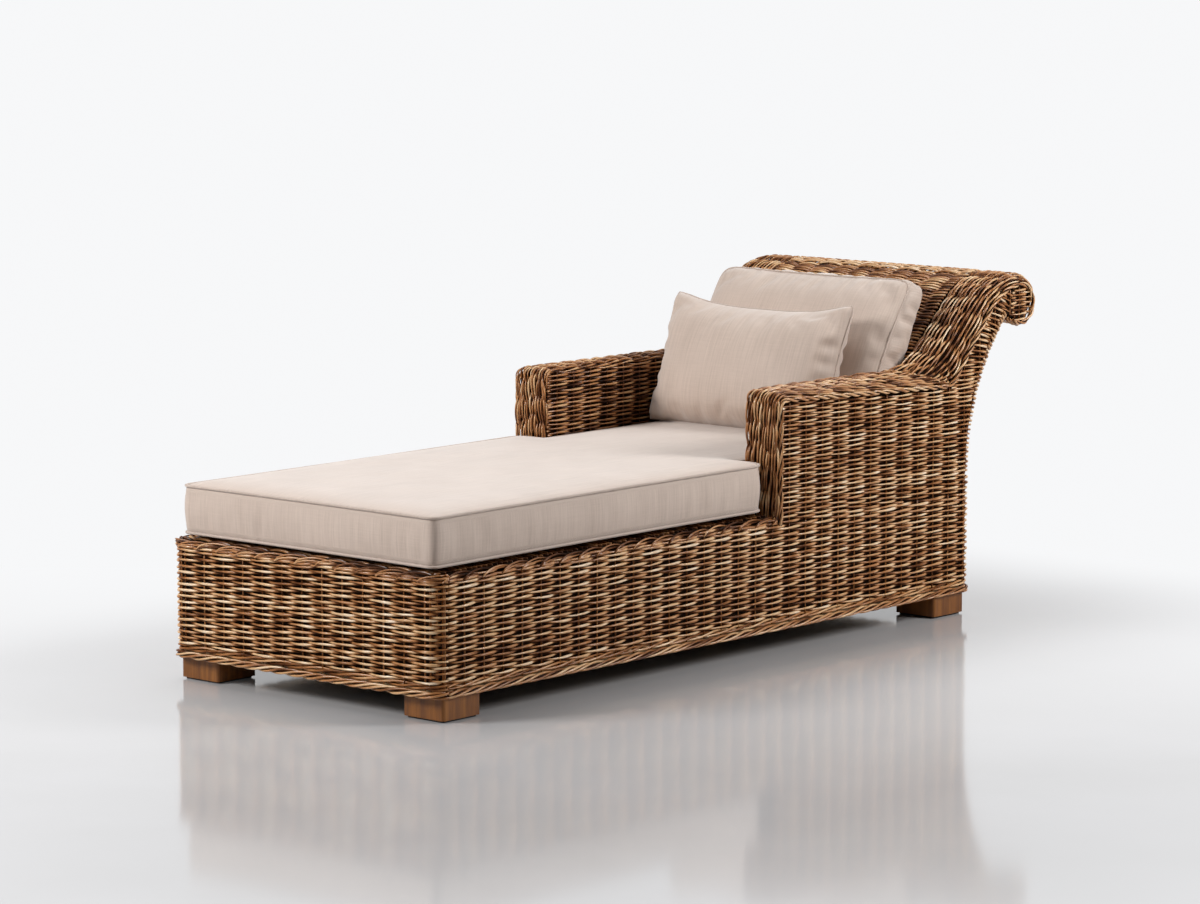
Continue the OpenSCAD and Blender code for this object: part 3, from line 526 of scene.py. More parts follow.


# Near-black sheets behind the strands: painted shade in the gaps of the weave
def painted_shade_material():
    look = Look("rattan_shadow")
    grain = look.noise(look.attribute("fibre", "Vector"), (60, 60, 60))
    look.shade(Base_Color=look.ramp(grain, [(0.3, (0.012, 0.006, 0.003)), (0.7, (0.030, 0.015, 0.008))]),
               Roughness=0.9, Specular_IOR_Level=0.1)
    return look.material


WEAVE = rattan_material("rattan_weave_look", -0.015)
BRAID = rattan_material("rattan_braid_look", -0.08)
# A darker copy of the weave, painted shade for the inner back and inner arms, which lie in the shade of the
# cushions and the roll
INNER_PAINTED_SHADE_WEAVE = rattan_material("rattan_inner_painted_shade_look", -0.17)
# A still darker copy of the weave, painted shade for the deck under the seat cushion
DECK_PAINTED_SHADE_WEAVE = rattan_material("rattan_deck_painted_shade_look", -0.28)
SHADE_SHEET_LOOK = painted_shade_material()


def finish_piece(bundle, name, node, look=WEAVE):
    thing = bundle.build(name, [look, SHADE_SHEET_LOOK])
    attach(thing, FRAME_BODY)
    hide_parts(node)


def rope(bundle, line, strands, helix, radius, pitch, key, tone=0.5, core=0.0):
    """Strands laid round each other along a line, round a core if it has a radius; the core is near-black,
    painted shade between the strands.
    """
    path, normal, across = line
    run = run_of(path)
    if core:
        # Painted shade: tone 0 makes the core near-black
        bundle.tube(path, normal, core, seeded(12, key, 99), 0.0)
    for k in range(strands):
        rng = seeded(12, key, k)
        turn = 2 * math.pi * (run / pitch + k / strands) + 0.35 * wander(run[-1], 70 * MM, rng, run)
        place = (path + normal * (helix * np.cos(turn))[:, None]
                 + across * (helix * np.sin(turn))[:, None])
        shade = np.clip(tone + 0.25 * wander(run[-1], 60 * MM, rng, run) + rng.uniform(-0.15, 0.15), 0, 1)
        swell = 1 + 0.12 * wander(run[-1], 50 * MM, rng, run)
        bundle.tube(place, normal, radius * swell, rng, shade, sides=8)


def woven_row(bundle, line, phase, rng, lift=STRAND_LIFT, pitch=ROW_PITCH, radius=STRAND_R,
              sign=1.0, rise=RISE, slip=SLIP, dark=BEHIND_PAINTED_SHADE):
    """Two strands beside each other along a line at the middle of the weave."""
    path, normal, across = line
    run = run_of(path)
    length = run[-1]
    drift = wander(length, 80 * MM, rng, run) * 1.3 * MM
    for strand in (0, 1):
        turn = phase + math.pi * strand + slip * wander(length, 90 * MM, rng, run)
        front = np.cos(turn)
        far = np.sin(turn) * sign
        swell = 0.97 + SWELL_SHARE * far * (0.4 + front) + 0.14 * wander(length, 60 * MM, rng, run)
        shift = drift + 1.1 * MM * wander(length, 40 * MM, rng, run)
        up = (strand - 0.5) * pitch / 2 + rise * far + shift
        out = lift * (front + PROUD_SHARE * (1 - front ** 2))
        out = out * (1 - 0.09 * (1 + wander(length, 50 * MM, rng, run)))
        # Painted shade: share of darkening where the strand lies behind a stake
        hidden = np.clip((HIDDEN_FROM - front) / (1 + HIDDEN_FROM), 0, 1) ** 0.6
        place = path + normal * out[:, None] + across * up[:, None]
        # Painted highlight: paler towards the far end of each stretch in front of a stake; painted shade
        # where the strand lies behind
        tone = (rng.uniform(0.42, 0.85) + 0.18 * wander(length, 60 * MM, rng, run)
                + 0.12 * wander(length, 22 * MM, rng, run) + PAINTED_HIGHLIGHT_SHARE * far * (0.5 + 0.5 * front)
                - dark * hidden)
        bundle.tube(place, normal, radius * swell * rng.uniform(0.84, 1.1), rng, np.clip(tone, 0, 1))


def stake(bundle, path, normal, rng):
    bundle.tube(path, normal, STAKE_R, rng, rng.uniform(0.2, 0.5), sides=5)


# Base: rows that run round the woven body

RIM_RUN_Y = FACE_BACK_Y - FACE_FRONT_Y - 2 * CORNER_R
RIM_RUN_X = 2 * (FACE_X - CORNER_R)
RIM_CORNER = math.pi / 2 * CORNER_R
RIM_LENGTH = 2 * (RIM_RUN_X + RIM_RUN_Y) + 4 * RIM_CORNER
RIM_PITCH = RIM_LENGTH / (2 * round(RIM_LENGTH / STAKE_PITCH / 2))
RIM_STEP = RIM_PITCH / STEPS_PER_STAKE
# Stakes are counted from the middle of the foot end, as the frame's hollows are
RIM_OFFSET = RIM_RUN_X / 2 + RIM_CORNER
# Where each stretch starts, counter-clockwise from the right side's front end
RIM_PARTS = {}
RIM_AT = 0.0
for part_name, part_length in (("right", RIM_RUN_Y), ("rear_right", RIM_CORNER), ("rear", RIM_RUN_X),
                               ("rear_left", RIM_CORNER), ("left", RIM_RUN_Y), ("front_left", RIM_CORNER),
                               ("front", RIM_RUN_X), ("front_right", RIM_CORNER)):
    RIM_PARTS[part_name] = (RIM_AT, RIM_AT + part_length)
    RIM_AT += part_length


def rim_points(u, depth):
    """Point in plan and outward direction at distances u round the rim."""
    u = np.asarray(u)
    at = np.zeros((len(u), 2))
    out = np.zeros((len(u), 2))
    r = CORNER_R
    corner_y = (FACE_FRONT_Y + r, FACE_BACK_Y - r)
    corner_x = FACE_X - r
    straight = {
        "right": ((FACE_X, corner_y[0]), (0, 1), (1, 0)),
        "rear": ((corner_x, FACE_BACK_Y), (-1, 0), (0, 1)),
        "left": ((-FACE_X, corner_y[1]), (0, -1), (-1, 0)),
        "front": ((-corner_x, FACE_FRONT_Y), (1, 0), (0, -1)),
    }
    bends = {
        "rear_right": ((corner_x, corner_y[1]), 0),
        "rear_left": ((-corner_x, corner_y[1]), 90),
        "front_left": ((-corner_x, corner_y[0]), 180),
        "front_right": ((corner_x, corner_y[0]), 270),
    }
    for name, (first, last) in RIM_PARTS.items():
        inside = (u >= first - 1e-9) & (u <= last + 1e-9)
        f = u[inside] - first
        if name in straight:
            start, along, normal = straight[name]
            at[inside] = np.array(start) + f[:, None] * np.array(along)
        else:
            centre, start = bends[name]
            a = np.radians(start) + f / r
            normal = np.stack([np.cos(a), np.sin(a)], 1)
            at[inside] = np.array(centre) + normal * r
        out[inside] = normal
    return at - out * depth, out


def rim_line(u, depth, z):
    """Points, outward and upward directions at distances u round the rim, at a height."""
    at, out = rim_points(np.clip(u, 0, RIM_LENGTH), depth)
    return at_height(at, z), at_height(out, 0.0), each((0, 0, 1), u)


def rim_phase(u):
    """Turn of the weave, a whole number of half turns at each stake."""
    return math.pi * (u + RIM_OFFSET) / RIM_PITCH


def rim_stakes_within(first, last):
    a = math.ceil((first + RIM_OFFSET) / RIM_PITCH - 1e-6)
    b = math.floor((last + RIM_OFFSET) / RIM_PITCH + 1e-6)
    return {k: k * RIM_PITCH - RIM_OFFSET for k in range(a, b + 1)}


def rim_shade_sheet(bundle, first, last, z0, z1):
    at, _ = rim_points(spaced(first, last, 20 * MM), SHADE_SHEET_DEPTH)
    bundle.sheet(np.stack([at_height(at, z) for z in (z0, z1)], 1))


def rim_stakes(bundle, first, last, z0, z1):
    for k, u in rim_stakes_within(first, last).items():
        at, out = rim_points(np.array([u]), SKIN_T / 2)
        rng = seeded(2, 0, k)
        z = spaced(z0, z1, 40 * MM)
        path = np.column_stack([np.repeat(at, len(z), 0), z])
        path[:, 0] += 0.5 * MM * rng.uniform(-1, 1, len(z))
        stake(bundle, path, np.repeat(at_height(out, 0.0), len(z), 0), rng)


def corner_posts(bundle, stretches, line_of):
    """Dark posts behind the strands of the rounded corners, along lines given for each place."""
    for name in stretches:
        first, last = RIM_PARTS[name]
        if last - first > RIM_CORNER + MM:
            continue
        for share in (0.15, 0.5, 0.85):
            path, normal = line_of(*rim_points(np.array([first + share * (last - first)]), POST_DEPTH))
            bundle.tube(path, normal, POST_R, seeded(14, int(first * 100), int(share * 100)), 0.3, sides=5)


def rim_panel(name, node, stretches, z1):
    """A panel of the base made of stretches of the rim that follow each other."""
    bundle = Bundle()
    height = FRAME_TOP_Z - SKIN_LOW_Z
    count = round(height / ROW_PITCH)
    rows = [z for z in (SKIN_LOW_Z + (k + 0.5) * (height / count) for k in range(count)) if z < z1]
    while rows[-1] + ROW_PITCH * 1.2 < z1:
        rows.append(rows[-1] + ROW_PITCH)
    first = RIM_PARTS[stretches[0]][0]
    last = RIM_PARTS[stretches[-1]][1]
    u = spaced(first, last, RIM_STEP)
    # The lowest row has three strands, which pass in front of two stakes and behind one
    rope(bundle, rim_line(u, SKIN_T / 2, rows[0]), 3, WALING_HELIX, WALING_R, 3 * RIM_PITCH,
         50 + int(first * 10), tone=0.45)
    for k, z in enumerate(rows[1:], 1):
        woven_row(bundle, rim_line(u, SKIN_T / 2, z), rim_phase(u), seeded(1, k, int(first * 1000)))
    rim_stakes(bundle, first, last, SKIN_LOW_Z, z1)

    def upright(at, out):
        z = np.array([SKIN_LOW_Z, (SKIN_LOW_Z + z1) / 2, z1])
        return np.column_stack([np.repeat(at, 3, 0), z]), np.repeat(at_height(out, 0.0), 3, 0)

    corner_posts(bundle, stretches, upright)
    rim_shade_sheet(bundle, first, last, SKIN_LOW_Z, z1)
    finish_piece(bundle, name, node)


rim_panel("weave_side_right", "base_side_right", ["right"], FRAME_TOP_Z)
rim_panel("weave_side_left", "base_side_left", ["left"], FRAME_TOP_Z)
rim_panel("weave_rear_low", "rear_panel_lower", ["rear_right", "rear", "rear_left"], REAR_BEND_Z)
rim_panel("weave_foot", "foot_panel", ["front_left", "front", "front_right"], FRAME_TOP_Z)


# Flat panels whose rows are lines in the side plane, clipped to an outline

def inside_outline(points, outline):
    """Which points of the side plane lie within a closed outline."""
    y = points[:, 0][:, None]
    z = points[:, 1][:, None]
    a = outline
    b = np.roll(outline, -1, axis=0)
    crosses = (a[:, 1] > z) != (b[:, 1] > z)
    slope = (b[:, 0] - a[:, 0]) * (z - a[:, 1]) / np.where(b[:, 1] == a[:, 1], 1e-9, b[:, 1] - a[:, 1])
    return (crosses & (y < slope + a[:, 0])).sum(1) % 2 == 1


def respaced(line, spacing):
    run = run_of(line)
    at = spaced(0, run[-1], spacing)
    return np.column_stack([np.interp(at, run, line[:, 0]), np.interp(at, run, line[:, 1])])


def clipped(line, outline, spacing):
    """Stretches of a line in the side plane that lie within the outline."""
    dense = respaced(line, 2 * MM)
    within = inside_outline(dense, outline)
    edges = np.flatnonzero(np.diff(np.concatenate([[0], within.astype(int), [0]])))
    return [respaced(dense[a:b], spacing) for a, b in zip(edges[::2], edges[1::2]) if b - a > 3]


def side_panel(bundle, outline, lines, x, facing, phase_of, key, stakes_y, spacing, pitch, sign=1):
    """Rows along given lines on a plane of constant X, seen from the side facing."""
    depth = x - facing * SKIN_T / 2
    for k, line in enumerate(lines):
        for j, stretch in enumerate(clipped(line, outline, spacing)):
            slope = unit(np.gradient(stretch, axis=0))
            across = at_x(np.column_stack([-slope[:, 1], slope[:, 0]]), 0.0)
            woven_row(bundle, (at_x(stretch, depth), each((facing, 0, 0), stretch), across),
                      phase_of(stretch[:, 0]), seeded(3, key, k, j), pitch=pitch,
                      radius=ARM_STRAND_R, sign=sign)
    z0 = outline[:, 1].min()
    z1 = outline[:, 1].max()
    for k, y in enumerate(stakes_y):
        for stretch in clipped(np.array([[y, z0 - MM], [y, z1 + MM]]), outline, 30 * MM):
            stake(bundle, at_x(stretch, depth), each((facing, 0, 0), stretch), seeded(4, key, k))


def flat_shade_sheet(bundle, outline, x):
    """Painted shade sheet of a side panel: strips between the outline's lowest and highest edge."""
    edge = np.vstack([outline, outline[:1]])
    a = edge[:-1]
    b = edge[1:]
    low_edge = []
    high_edge = []
    for place in spaced(outline[:, 0].min() + MM, outline[:, 0].max() - MM, 8 * MM):
        hit = (a[:, 0] > place) != (b[:, 0] > place)
        z = a[hit, 1] + (b[hit, 1] - a[hit, 1]) * (place - a[hit, 0]) / (b[hit, 0] - a[hit, 0])
        low_edge.append((place, z.min()))
        high_edge.append((place, z.max()))
    bundle.sheet(np.stack([at_x(np.array(side), x) for side in (low_edge, high_edge)], 1))


def outer_outline():
    edge = stations(cane(CANE_R + GAP), counts_for(cane(), 8 * MM))[0]
    far = stations(rear(-CORNER_R - GAP), counts_for(rear(), 15 * MM))[0]
    return np.vstack([edge, far[::-1]])


def rear_edge(place):
    """Point and lean, in degrees, at a distance up the rear edge of the side."""
    upright = REAR_BEND_Z - FRAME_TOP_Z
    if place < upright:
        return np.array([FACE_BACK_Y, FRAME_TOP_Z + place]), 0.0
    lean = math.degrees((place - upright) / REAR_R)
    centre = np.array([FACE_BACK_Y + REAR_R, REAR_BEND_Z])
    return centre - REAR_R * np.array([math.cos(math.radians(lean)), -math.sin(math.radians(lean))]), lean


def outer_lines():
    """Rows of the outer arm, level up to the arm's top and falling outwards in the neck."""
    lines = []
    place = -1.5 * ARM_ROW_PITCH
    disc = np.array([ROLL_CY, RING_CZ])
    while place < REAR_BEND_Z - FRAME_TOP_Z + math.radians(REAR_TURN) * REAR_R + 6 * ARM_ROW_PITCH:
        at, lean = rear_edge(place)
        free = np.clip((at[1] - ARM_TOP_Z + 30 * MM) / (90 * MM), 0, 1)
        reach = (15 + 300 * free ** 2) * MM
        inward = spaced(0, at[0] - ARM_FRONT_Y, 10 * MM)
        slope = math.tan(math.radians(min(lean, NECK_LEAN_MOST)) * NECK_SQUARENESS)
        rise = slope * reach * (1 - np.exp(-inward / reach))
        line = np.column_stack([at[0] - inward, at[1] + rise + inward * LEVEL_FALL])[::-1]
        line = line[np.linalg.norm(line - disc, axis=1) > RING_R - CANE_R]
        if len(line) > 2:
            lines.append(line)
        place += ARM_ROW_PITCH * (1 + NECK_SPREAD * free)
    return lines


def disc_lines():
    """Level rows that fill the roll's end within its ring of cane."""
    radius = RING_R - CANE_R - GAP
    rows = round(2 * radius / ARM_ROW_PITCH)
    heights = [-radius + (k + 0.5) * 2 * radius / rows for k in range(rows)]
    return [np.array([[ROLL_CY + side * math.sqrt(radius ** 2 - h ** 2), RING_CZ + h] for side in (-1, 1)])
            for h in heights]


def disc_phase(y):
    return math.pi * (y - ROLL_CY) / DISC_STAKE_PITCH


def disc_outline(radius):
    a = np.linspace(0, 2 * math.pi, 60, endpoint=False)
    return np.column_stack([ROLL_CY + radius * np.cos(a), RING_CZ + radius * np.sin(a)])


def side_phase(side):
    start = FACE_FRONT_Y + CORNER_R
    first, last = RIM_PARTS[SIDE_NAMES[side]]
    return lambda y: rim_phase(first + (y - start) if side > 0 else last - (y - start))


def side_stakes(side):
    y = np.linspace(ARM_FRONT_Y, ROLL_END_Y, 2000)
    turn = side_phase(side)(y) / math.pi
    return y[np.flatnonzero(np.diff(np.floor(turn)) != 0)]


def outer_arm(side):
    bundle = Bundle()
    outline = outer_outline()
    side_panel(bundle, outline, outer_lines(), side * FACE_X, side, side_phase(side), 10 + side,
               side_stakes(side), RIM_STEP, ARM_ROW_PITCH)
    side_panel(bundle, disc_outline(RING_R - CANE_R), disc_lines(), side * FACE_X, side, disc_phase,
               15 + side, [ROLL_CY], DISC_STAKE_PITCH / 8, ARM_ROW_PITCH)
    flat_shade_sheet(bundle, outline, side * (FACE_X - SHADE_SHEET_DEPTH))
    flat_shade_sheet(bundle, disc_outline(RING_R + 2 * MM), side * (FACE_X - SHADE_SHEET_DEPTH - MM))
    finish_piece(bundle, f"weave_arm_outer_{SIDE_NAMES[side]}", f"arm_outer_{SIDE_NAMES[side]}")


def inner_arm(side):
    bundle = Bundle()
    top = stations(crown(BAND_T)[:4], counts_for(crown(), 8 * MM)[:4])[0]
    foot = np.array([SEAT_REAR_Y - GAP, DECK_UNDER_Z])
    reach = (top[-1][1] - DECK_UNDER_Z) / math.sin(math.radians(INNER_ANGLE))
    head = foot + ahead(INNER_ANGLE) * reach
    top = top[(top[:, 1] > DECK_UNDER_Z) & (top[:, 0] < foot[0] + (top[:, 1] - foot[1]) * 0.2)]
    outline = np.vstack([[[ARM_FRONT_Y + BAND_T, DECK_UNDER_Z]], top, [head], [foot]])
    z = np.arange(DECK_UNDER_Z + ROW_PITCH / 2, ARM_TOP_Z + 60 * MM, INNER_ARM_ROW_PITCH)
    lines = [np.array([[ARM_FRONT_Y, h], [ROLL_CY, h]]) for h in z]
    side_panel(bundle, outline, lines, side * ARM_IN_X, -side, side_phase(1), 20 + side, side_stakes(1),
               RIM_STEP, INNER_ARM_ROW_PITCH, -side)
    flat_shade_sheet(bundle, outline, side * (ARM_IN_X + SHADE_SHEET_DEPTH))
    finish_piece(bundle, f"weave_arm_inner_{SIDE_NAMES[side]}", f"arm_inner_{SIDE_NAMES[side]}",
                 INNER_PAINTED_SHADE_WEAVE)


for arm_side in SIDE_NAMES:
    outer_arm(arm_side)
    inner_arm(arm_side)


# Panels whose rows run across, laid at places along a walk

def across_rows(bundle, steps, half_width, key, pitch, thickness=SKIN_T, radius=STRAND_R, laid=(0.0, 0.0)):
    """Rows along X at even places along a walk, on its left side. Laid is the stretch with laid ropes."""
    at, heading = stations(steps, counts_for(steps, 3 * MM))
    out = np.array([-right_of(a) for a in heading])
    widths = np.array([float(half_width(z)) for z in at[:, 1]])
    run = run_of(at)
    rows = max(2, round(run[-1] / pitch))
    for k in range(rows):
        s = (k + 0.5) * run[-1] / rows
        y, z, a = (np.interp(s, run, values) for values in (at[:, 0], at[:, 1], heading))
        n = -right_of(a)
        w = float(half_width(z)) - 2 * MM
        x = spaced(-w, w, STAKE_PITCH / STEPS_PER_STAKE)
        path = np.column_stack([x, each((y - n[0] * thickness / 2, z - n[1] * thickness / 2), x)])
        normal = each((0, *n), x)
        across = each((0, *ahead(a)), x)
        if laid[0] < s < laid[1]:
            raised = path + normal * (thickness / 2 - 5.6 * MM)
            rope(bundle, (raised, normal, across), 2, 3.1 * MM, 2.3 * MM, 56 * MM, 60 + k, tone=0.62,
                 core=2 * MM)
        else:
            woven_row(bundle, (path, normal, across), math.pi * (x / STAKE_PITCH + 0.5), seeded(5, key, k),
                      lift=thickness / 2 - radius, pitch=pitch, radius=radius)
    for k in range(-20, 21):
        x = (k + 0.5) * STAKE_PITCH
        keep = np.abs(x) < widths
        if keep.sum() < 4:
            continue
        n = out[keep][::5]
        stake(bundle, at_x(at[keep][::5] - n * thickness / 2, x), at_x(n, 0.0), seeded(6, key, k))
    back = at - out * (thickness - 0.6 * MM)
    bundle.sheet(np.stack([np.column_stack([-widths, back]), np.column_stack([widths, back])], 1)[::4])


def inner_back_panel():
    bundle = Bundle()
    across_rows(bundle, inner(), lambda z: wing_x(z) - GAP, 1, BACK_ROW_PITCH, radius=2.3 * MM)
    finish_piece(bundle, "weave_inner_back", "inner_back", INNER_PAINTED_SHADE_WEAVE)


def roll_panel():
    bundle = Bundle()
    start_angle = SWEEP_ANGLE - INNER_CREST_TURN
    start = np.array([ROLL_CY, OVERALL_H - CREST_R]) + ahead(90 + start_angle) * CREST_R
    steps = walk(start, start_angle, [(CREST_R, -start_angle), (ROLL_R, -ROLL_TURN)])
    crest_at = math.radians(start_angle) * CREST_R
    across_rows(bundle, steps, lambda z: WING_IN_X - GAP, 2, ROW_PITCH, thickness=BAND_T, radius=2.4 * MM,
                laid=(crest_at - 16 * MM, crest_at + 24 * MM))
    finish_piece(bundle, "weave_roll", "roll_cover")


def deck_panel():
    bundle = Bundle()
    end_y = SEAT_REAR_Y - GAP
    step_y = ARM_FRONT_Y - GAP
    in_x = ARM_IN_X - GAP
    pitch = 16 * MM
    rows = round((end_y - DECK_FRONT_Y) / pitch)
    for k in range(rows):
        y = DECK_FRONT_Y + (k + 0.5) * (end_y - DECK_FRONT_Y) / rows
        w = (DECK_HALF_W if y + pitch / 2 < step_y else in_x) - 2 * MM
        x = spaced(-w, w, STAKE_PITCH / 4)
        path = np.column_stack([x, each((y, DECK_Z - SKIN_T / 2), x)])
        woven_row(bundle, (path, each((0, 0, 1), x), each((0, 1, 0), x)), math.pi * (x / STAKE_PITCH + 0.5),
                  seeded(7, k), pitch=pitch, radius=3.4 * MM, lift=SKIN_T / 2 - 3.6 * MM)
    for k in range(-7, 7):
        x = (k + 0.5) * STAKE_PITCH
        if abs(x) < DECK_HALF_W:
            y = spaced(DECK_FRONT_Y, SEAT_REAR_Y - MM if abs(x) < in_x else ARM_FRONT_Y - MM, 60 * MM)
            path = at_x(np.column_stack([y, np.full(len(y), DECK_Z - SKIN_T / 2)]), x)
            stake(bundle, path, each((0, 0, 1), y), seeded(8, k))
    z = DECK_Z - SHADE_SHEET_DEPTH
    for y0, y1, w in ((DECK_FRONT_Y, step_y, DECK_HALF_W), (step_y, end_y, in_x)):
        bundle.sheet(np.array([[[x, y, z] for y in (y0, y1)] for x in (-w, w)]))
    finish_piece(bundle, "weave_deck", "seat_deck", DECK_PAINTED_SHADE_WEAVE)


def rear_upper_panel():
    """The rear face's arc, whose rows wrap both upright corners."""
    bundle = Bundle()
    first = RIM_PARTS["rear_right"][0]
    last = RIM_PARTS["rear_left"][1]
    u = spaced(first, last, RIM_STEP)
    centre = np.array([FACE_BACK_Y + REAR_R, REAR_BEND_Z])
    radius = REAR_R + CORNER_R

    def swung(at, direction, turn):
        """Swings points of the section at the arc's foot up to an angle."""
        arm = at[:, 1] - centre[0]
        sway = np.array([math.cos(turn), -math.sin(turn)])
        return (np.column_stack([at[:, 0], centre + arm[:, None] * sway]),
                np.column_stack([direction[:, 0], direction[:, 1:2] * sway]))

    def swept(at, direction):
        lines = [swung(at, direction, t) for t in turns]
        return np.vstack([p for p, _ in lines]), np.vstack([n for _, n in lines])

    upright = REAR_BEND_Z - FRAME_TOP_Z
    place = ARM_ROW_PITCH / 2
    k = 0
    while place < upright + math.radians(REAR_TURN) * radius:
        if place > upright:
            turn = (place - upright) / radius
            path, normal = swung(*rim_points(u, SKIN_T / 2), turn)
            line = (path, normal, each((0, math.sin(turn), math.cos(turn)), u))
            woven_row(bundle, line, rim_phase(u), seeded(9, k), pitch=ARM_ROW_PITCH)
        place += ARM_ROW_PITCH
        k += 1
    turns = spaced(0, math.radians(REAR_TURN), 30 * MM / REAR_R)
    for k, stake_u in rim_stakes_within(first, last).items():
        stake(bundle, *swept(*rim_points(np.array([stake_u]), SKIN_T / 2)), seeded(10, k))
    corner_posts(bundle, ("rear_right", "rear_left"), swept)
    back, out = rim_points(spaced(first, last, 15 * MM), SHADE_SHEET_DEPTH)
    bundle.sheet(np.stack([swung(back, out, t)[0] for t in turns], 0))
    finish_piece(bundle, "weave_rear_high", "rear_panel_upper")


inner_back_panel()
roll_panel()
deck_panel()
rear_upper_panel()


# Bands: rows lengthwise over the arm, the wing and the roll

BAND_ROWS = 13
BAND_STAKE_PITCH = 50 * MM
BAND_RISE = 1.3 * MM
BAND_SLIP = 0.95
# Painted shade of band strands behind their stakes, lighter than in the panels
BAND_PAINTED_SHADE = 0.42
BAND_STRAND_R = 2.15 * MM
BAND_LIFT = BAND_T / 2 - BAND_STRAND_R
BAND_SPACING = BAND_STAKE_PITCH / 7
EDGE_ANGLES = (90, 60, 30, 0)
SHOULDER_ANGLES = range(0, 91, 15)


def band_section(p, heading, q, share):
    """Point and outward direction at a share of the way across a band."""
    n = right_of(heading)
    points = []
    normals = []
    for k in EDGE_ANGLES:
        c, s = ahead(k)
        e = p + n * BAND_EDGE_R * (1 - c)
        points.append((float(wing_x(e[1])) + BAND_EDGE_R * (1 - s), e[0], e[1]))
        normals.append((-s, -n[0] * c, -n[1] * c))
    for t in SHOULDER_ANGLES:
        c, s = ahead(t)
        e = q + (p - q) * c
        points.append((SHOULDER_X + (FACE_X - SHOULDER_X) * s, e[0], e[1]))
        normals.append((s, -n[0] * c, -n[1] * c))
    run = run_of(np.array(points))
    at, normal = (np.array([np.interp(share * run[-1], run, column) for column in zip(*rows)])
                  for rows in (points, normals))
    return at, normal / np.linalg.norm(normal)


def band_grid():
    """Places and directions of all band rows, for the right side."""
    counts = counts_for(crown(), BAND_SPACING)
    counts[-1] = max(counts[-1], 30)
    p, heading = stations(crown(), counts)
    q, _ = stations(cane(-CANE_R - GAP), counts)
    rows = []
    for k in range(BAND_ROWS):
        pairs = [band_section(p[i], heading[i], q[i], (k + 0.5) / BAND_ROWS) for i in range(len(p))]
        at, normal = (np.array(values) for values in zip(*pairs))
        rows.append((at, unit(np.cross(np.gradient(at, axis=0), normal)), normal))
    return rows, run_of(p), sum(counts[:3])


def band_pieces(side):
    rows, run, wing_first = band_grid()
    flip = np.array([side, 1.0, 1.0])
    band_pitch = run_of(np.array([at[0] for at, _, _ in rows]))[-1] / (BAND_ROWS - 1)
    for part, first, last in (("arm", 0, wing_first), ("wing", wing_first, len(run) - 1)):
        bundle = Bundle()
        keep = slice(first, last + 1)
        for k, (at, across, normal) in enumerate(rows):
            place = (at - normal * BAND_T / 2)[keep] * flip
            woven_row(bundle, (place, normal[keep] * flip, across[keep] * flip),
                      math.pi * run[keep] / BAND_STAKE_PITCH, seeded(11, part == "arm", k),
                      lift=BAND_LIFT, pitch=band_pitch, radius=BAND_STRAND_R, rise=BAND_RISE,
                      slip=BAND_SLIP, dark=BAND_PAINTED_SHADE)
        bundle.sheet(np.stack([(at - normal * (BAND_T - 0.6 * MM))[keep] * flip
                               for at, _, normal in rows], 1))
        name = f"{part}_band_{SIDE_NAMES[side]}"
        finish_piece(bundle, f"weave_{name}", name, BRAID)


for band_side in SIDE_NAMES:
    band_pieces(band_side)


# Borders and canes

def cane_piece(side):
    bundle = Bundle()
    at, heading = stations(cane(), counts_for(cane(), 7 * MM))
    normal = at_x(np.array([-right_of(a) for a in heading]), 0.0)
    rope(bundle, (at_x(at, side * CANE_X), normal, each((side, 0, 0), at)), 2, 3 * MM, 2.7 * MM, 74 * MM,
         30 + side, tone=0.58, core=3 * MM)
    finish_piece(bundle, f"cane_{SIDE_NAMES[side]}", f"arm_cane_{SIDE_NAMES[side]}", BRAID)


def bottom_border(name, node, stretches):
    """Four strands laid loosely round a core, along stretches of the rim."""
    bundle = Bundle()
    for key, first, last in stretches:
        line = rim_line(spaced(first, last, 8 * MM), BOTTOM_BORDER_D / 2 - BRAID_PROUD, BOTTOM_BORDER_Z)
        rope(bundle, line, 4, 6 * MM, 2.6 * MM, 170 * MM, key, tone=0.62, core=3.6 * MM)
    finish_piece(bundle, name, node, BRAID)


ARCH_LENGTH = 2.1 * RIM_PITCH
ARCH_R = 2 * MM


def top_border(name, node, first, last):
    """A closed border: each stake arches over the next one and dives behind it."""
    bundle = Bundle()
    d = TOP_BORDER_D
    foot_z = TOP_BORDER_Z - d / 2
    for k, u0 in rim_stakes_within(first - RIM_PITCH, last).items():
        rng = seeded(13, k)
        f = np.linspace(0, 1, 17)
        u = np.clip(u0 + (f - 0.1) * ARCH_LENGTH, first, last)
        if u[-1] - u[0] < ARCH_R:
            continue
        at, out = rim_points(u, d / 2 - BRAID_PROUD)
        for strand in (0, 1):
            rise = np.sin(math.pi * f ** 0.8) ** 0.8
            top = d - 6 * MM - ARCH_R - (strand * 7 + rng.uniform(0, 4)) * MM
            depth = (d / 2 - ARCH_R - 0.5 * MM) * np.cos(math.pi * f * 0.9)
            path = np.column_stack([at + out * depth[:, None], foot_z + 6 * MM + top * rise])
            # Painted shade: each arch's colour darkens towards its end, where it dives behind the next
            # stake
            bundle.tube(path, unit(at_height(out, 0.3)), ARCH_R * rng.uniform(0.85, 1.05), rng,
                        np.clip(rng.uniform(0.05, 0.6) + 0.16 * np.cos(math.pi * f), 0, 1), sides=7)
    u = spaced(first, last, RIM_STEP)
    for k, lift in enumerate((4 * MM, 11 * MM)):
        woven_row(bundle, rim_line(u, SKIN_T / 2 - BRAID_PROUD / 2, foot_z + lift), rim_phase(u),
                  seeded(15, k))
    rim_shade_sheet(bundle, first, last, foot_z, TOP_BORDER_Z + d / 2 - 5 * MM)
    finish_piece(bundle, name, node, BRAID)


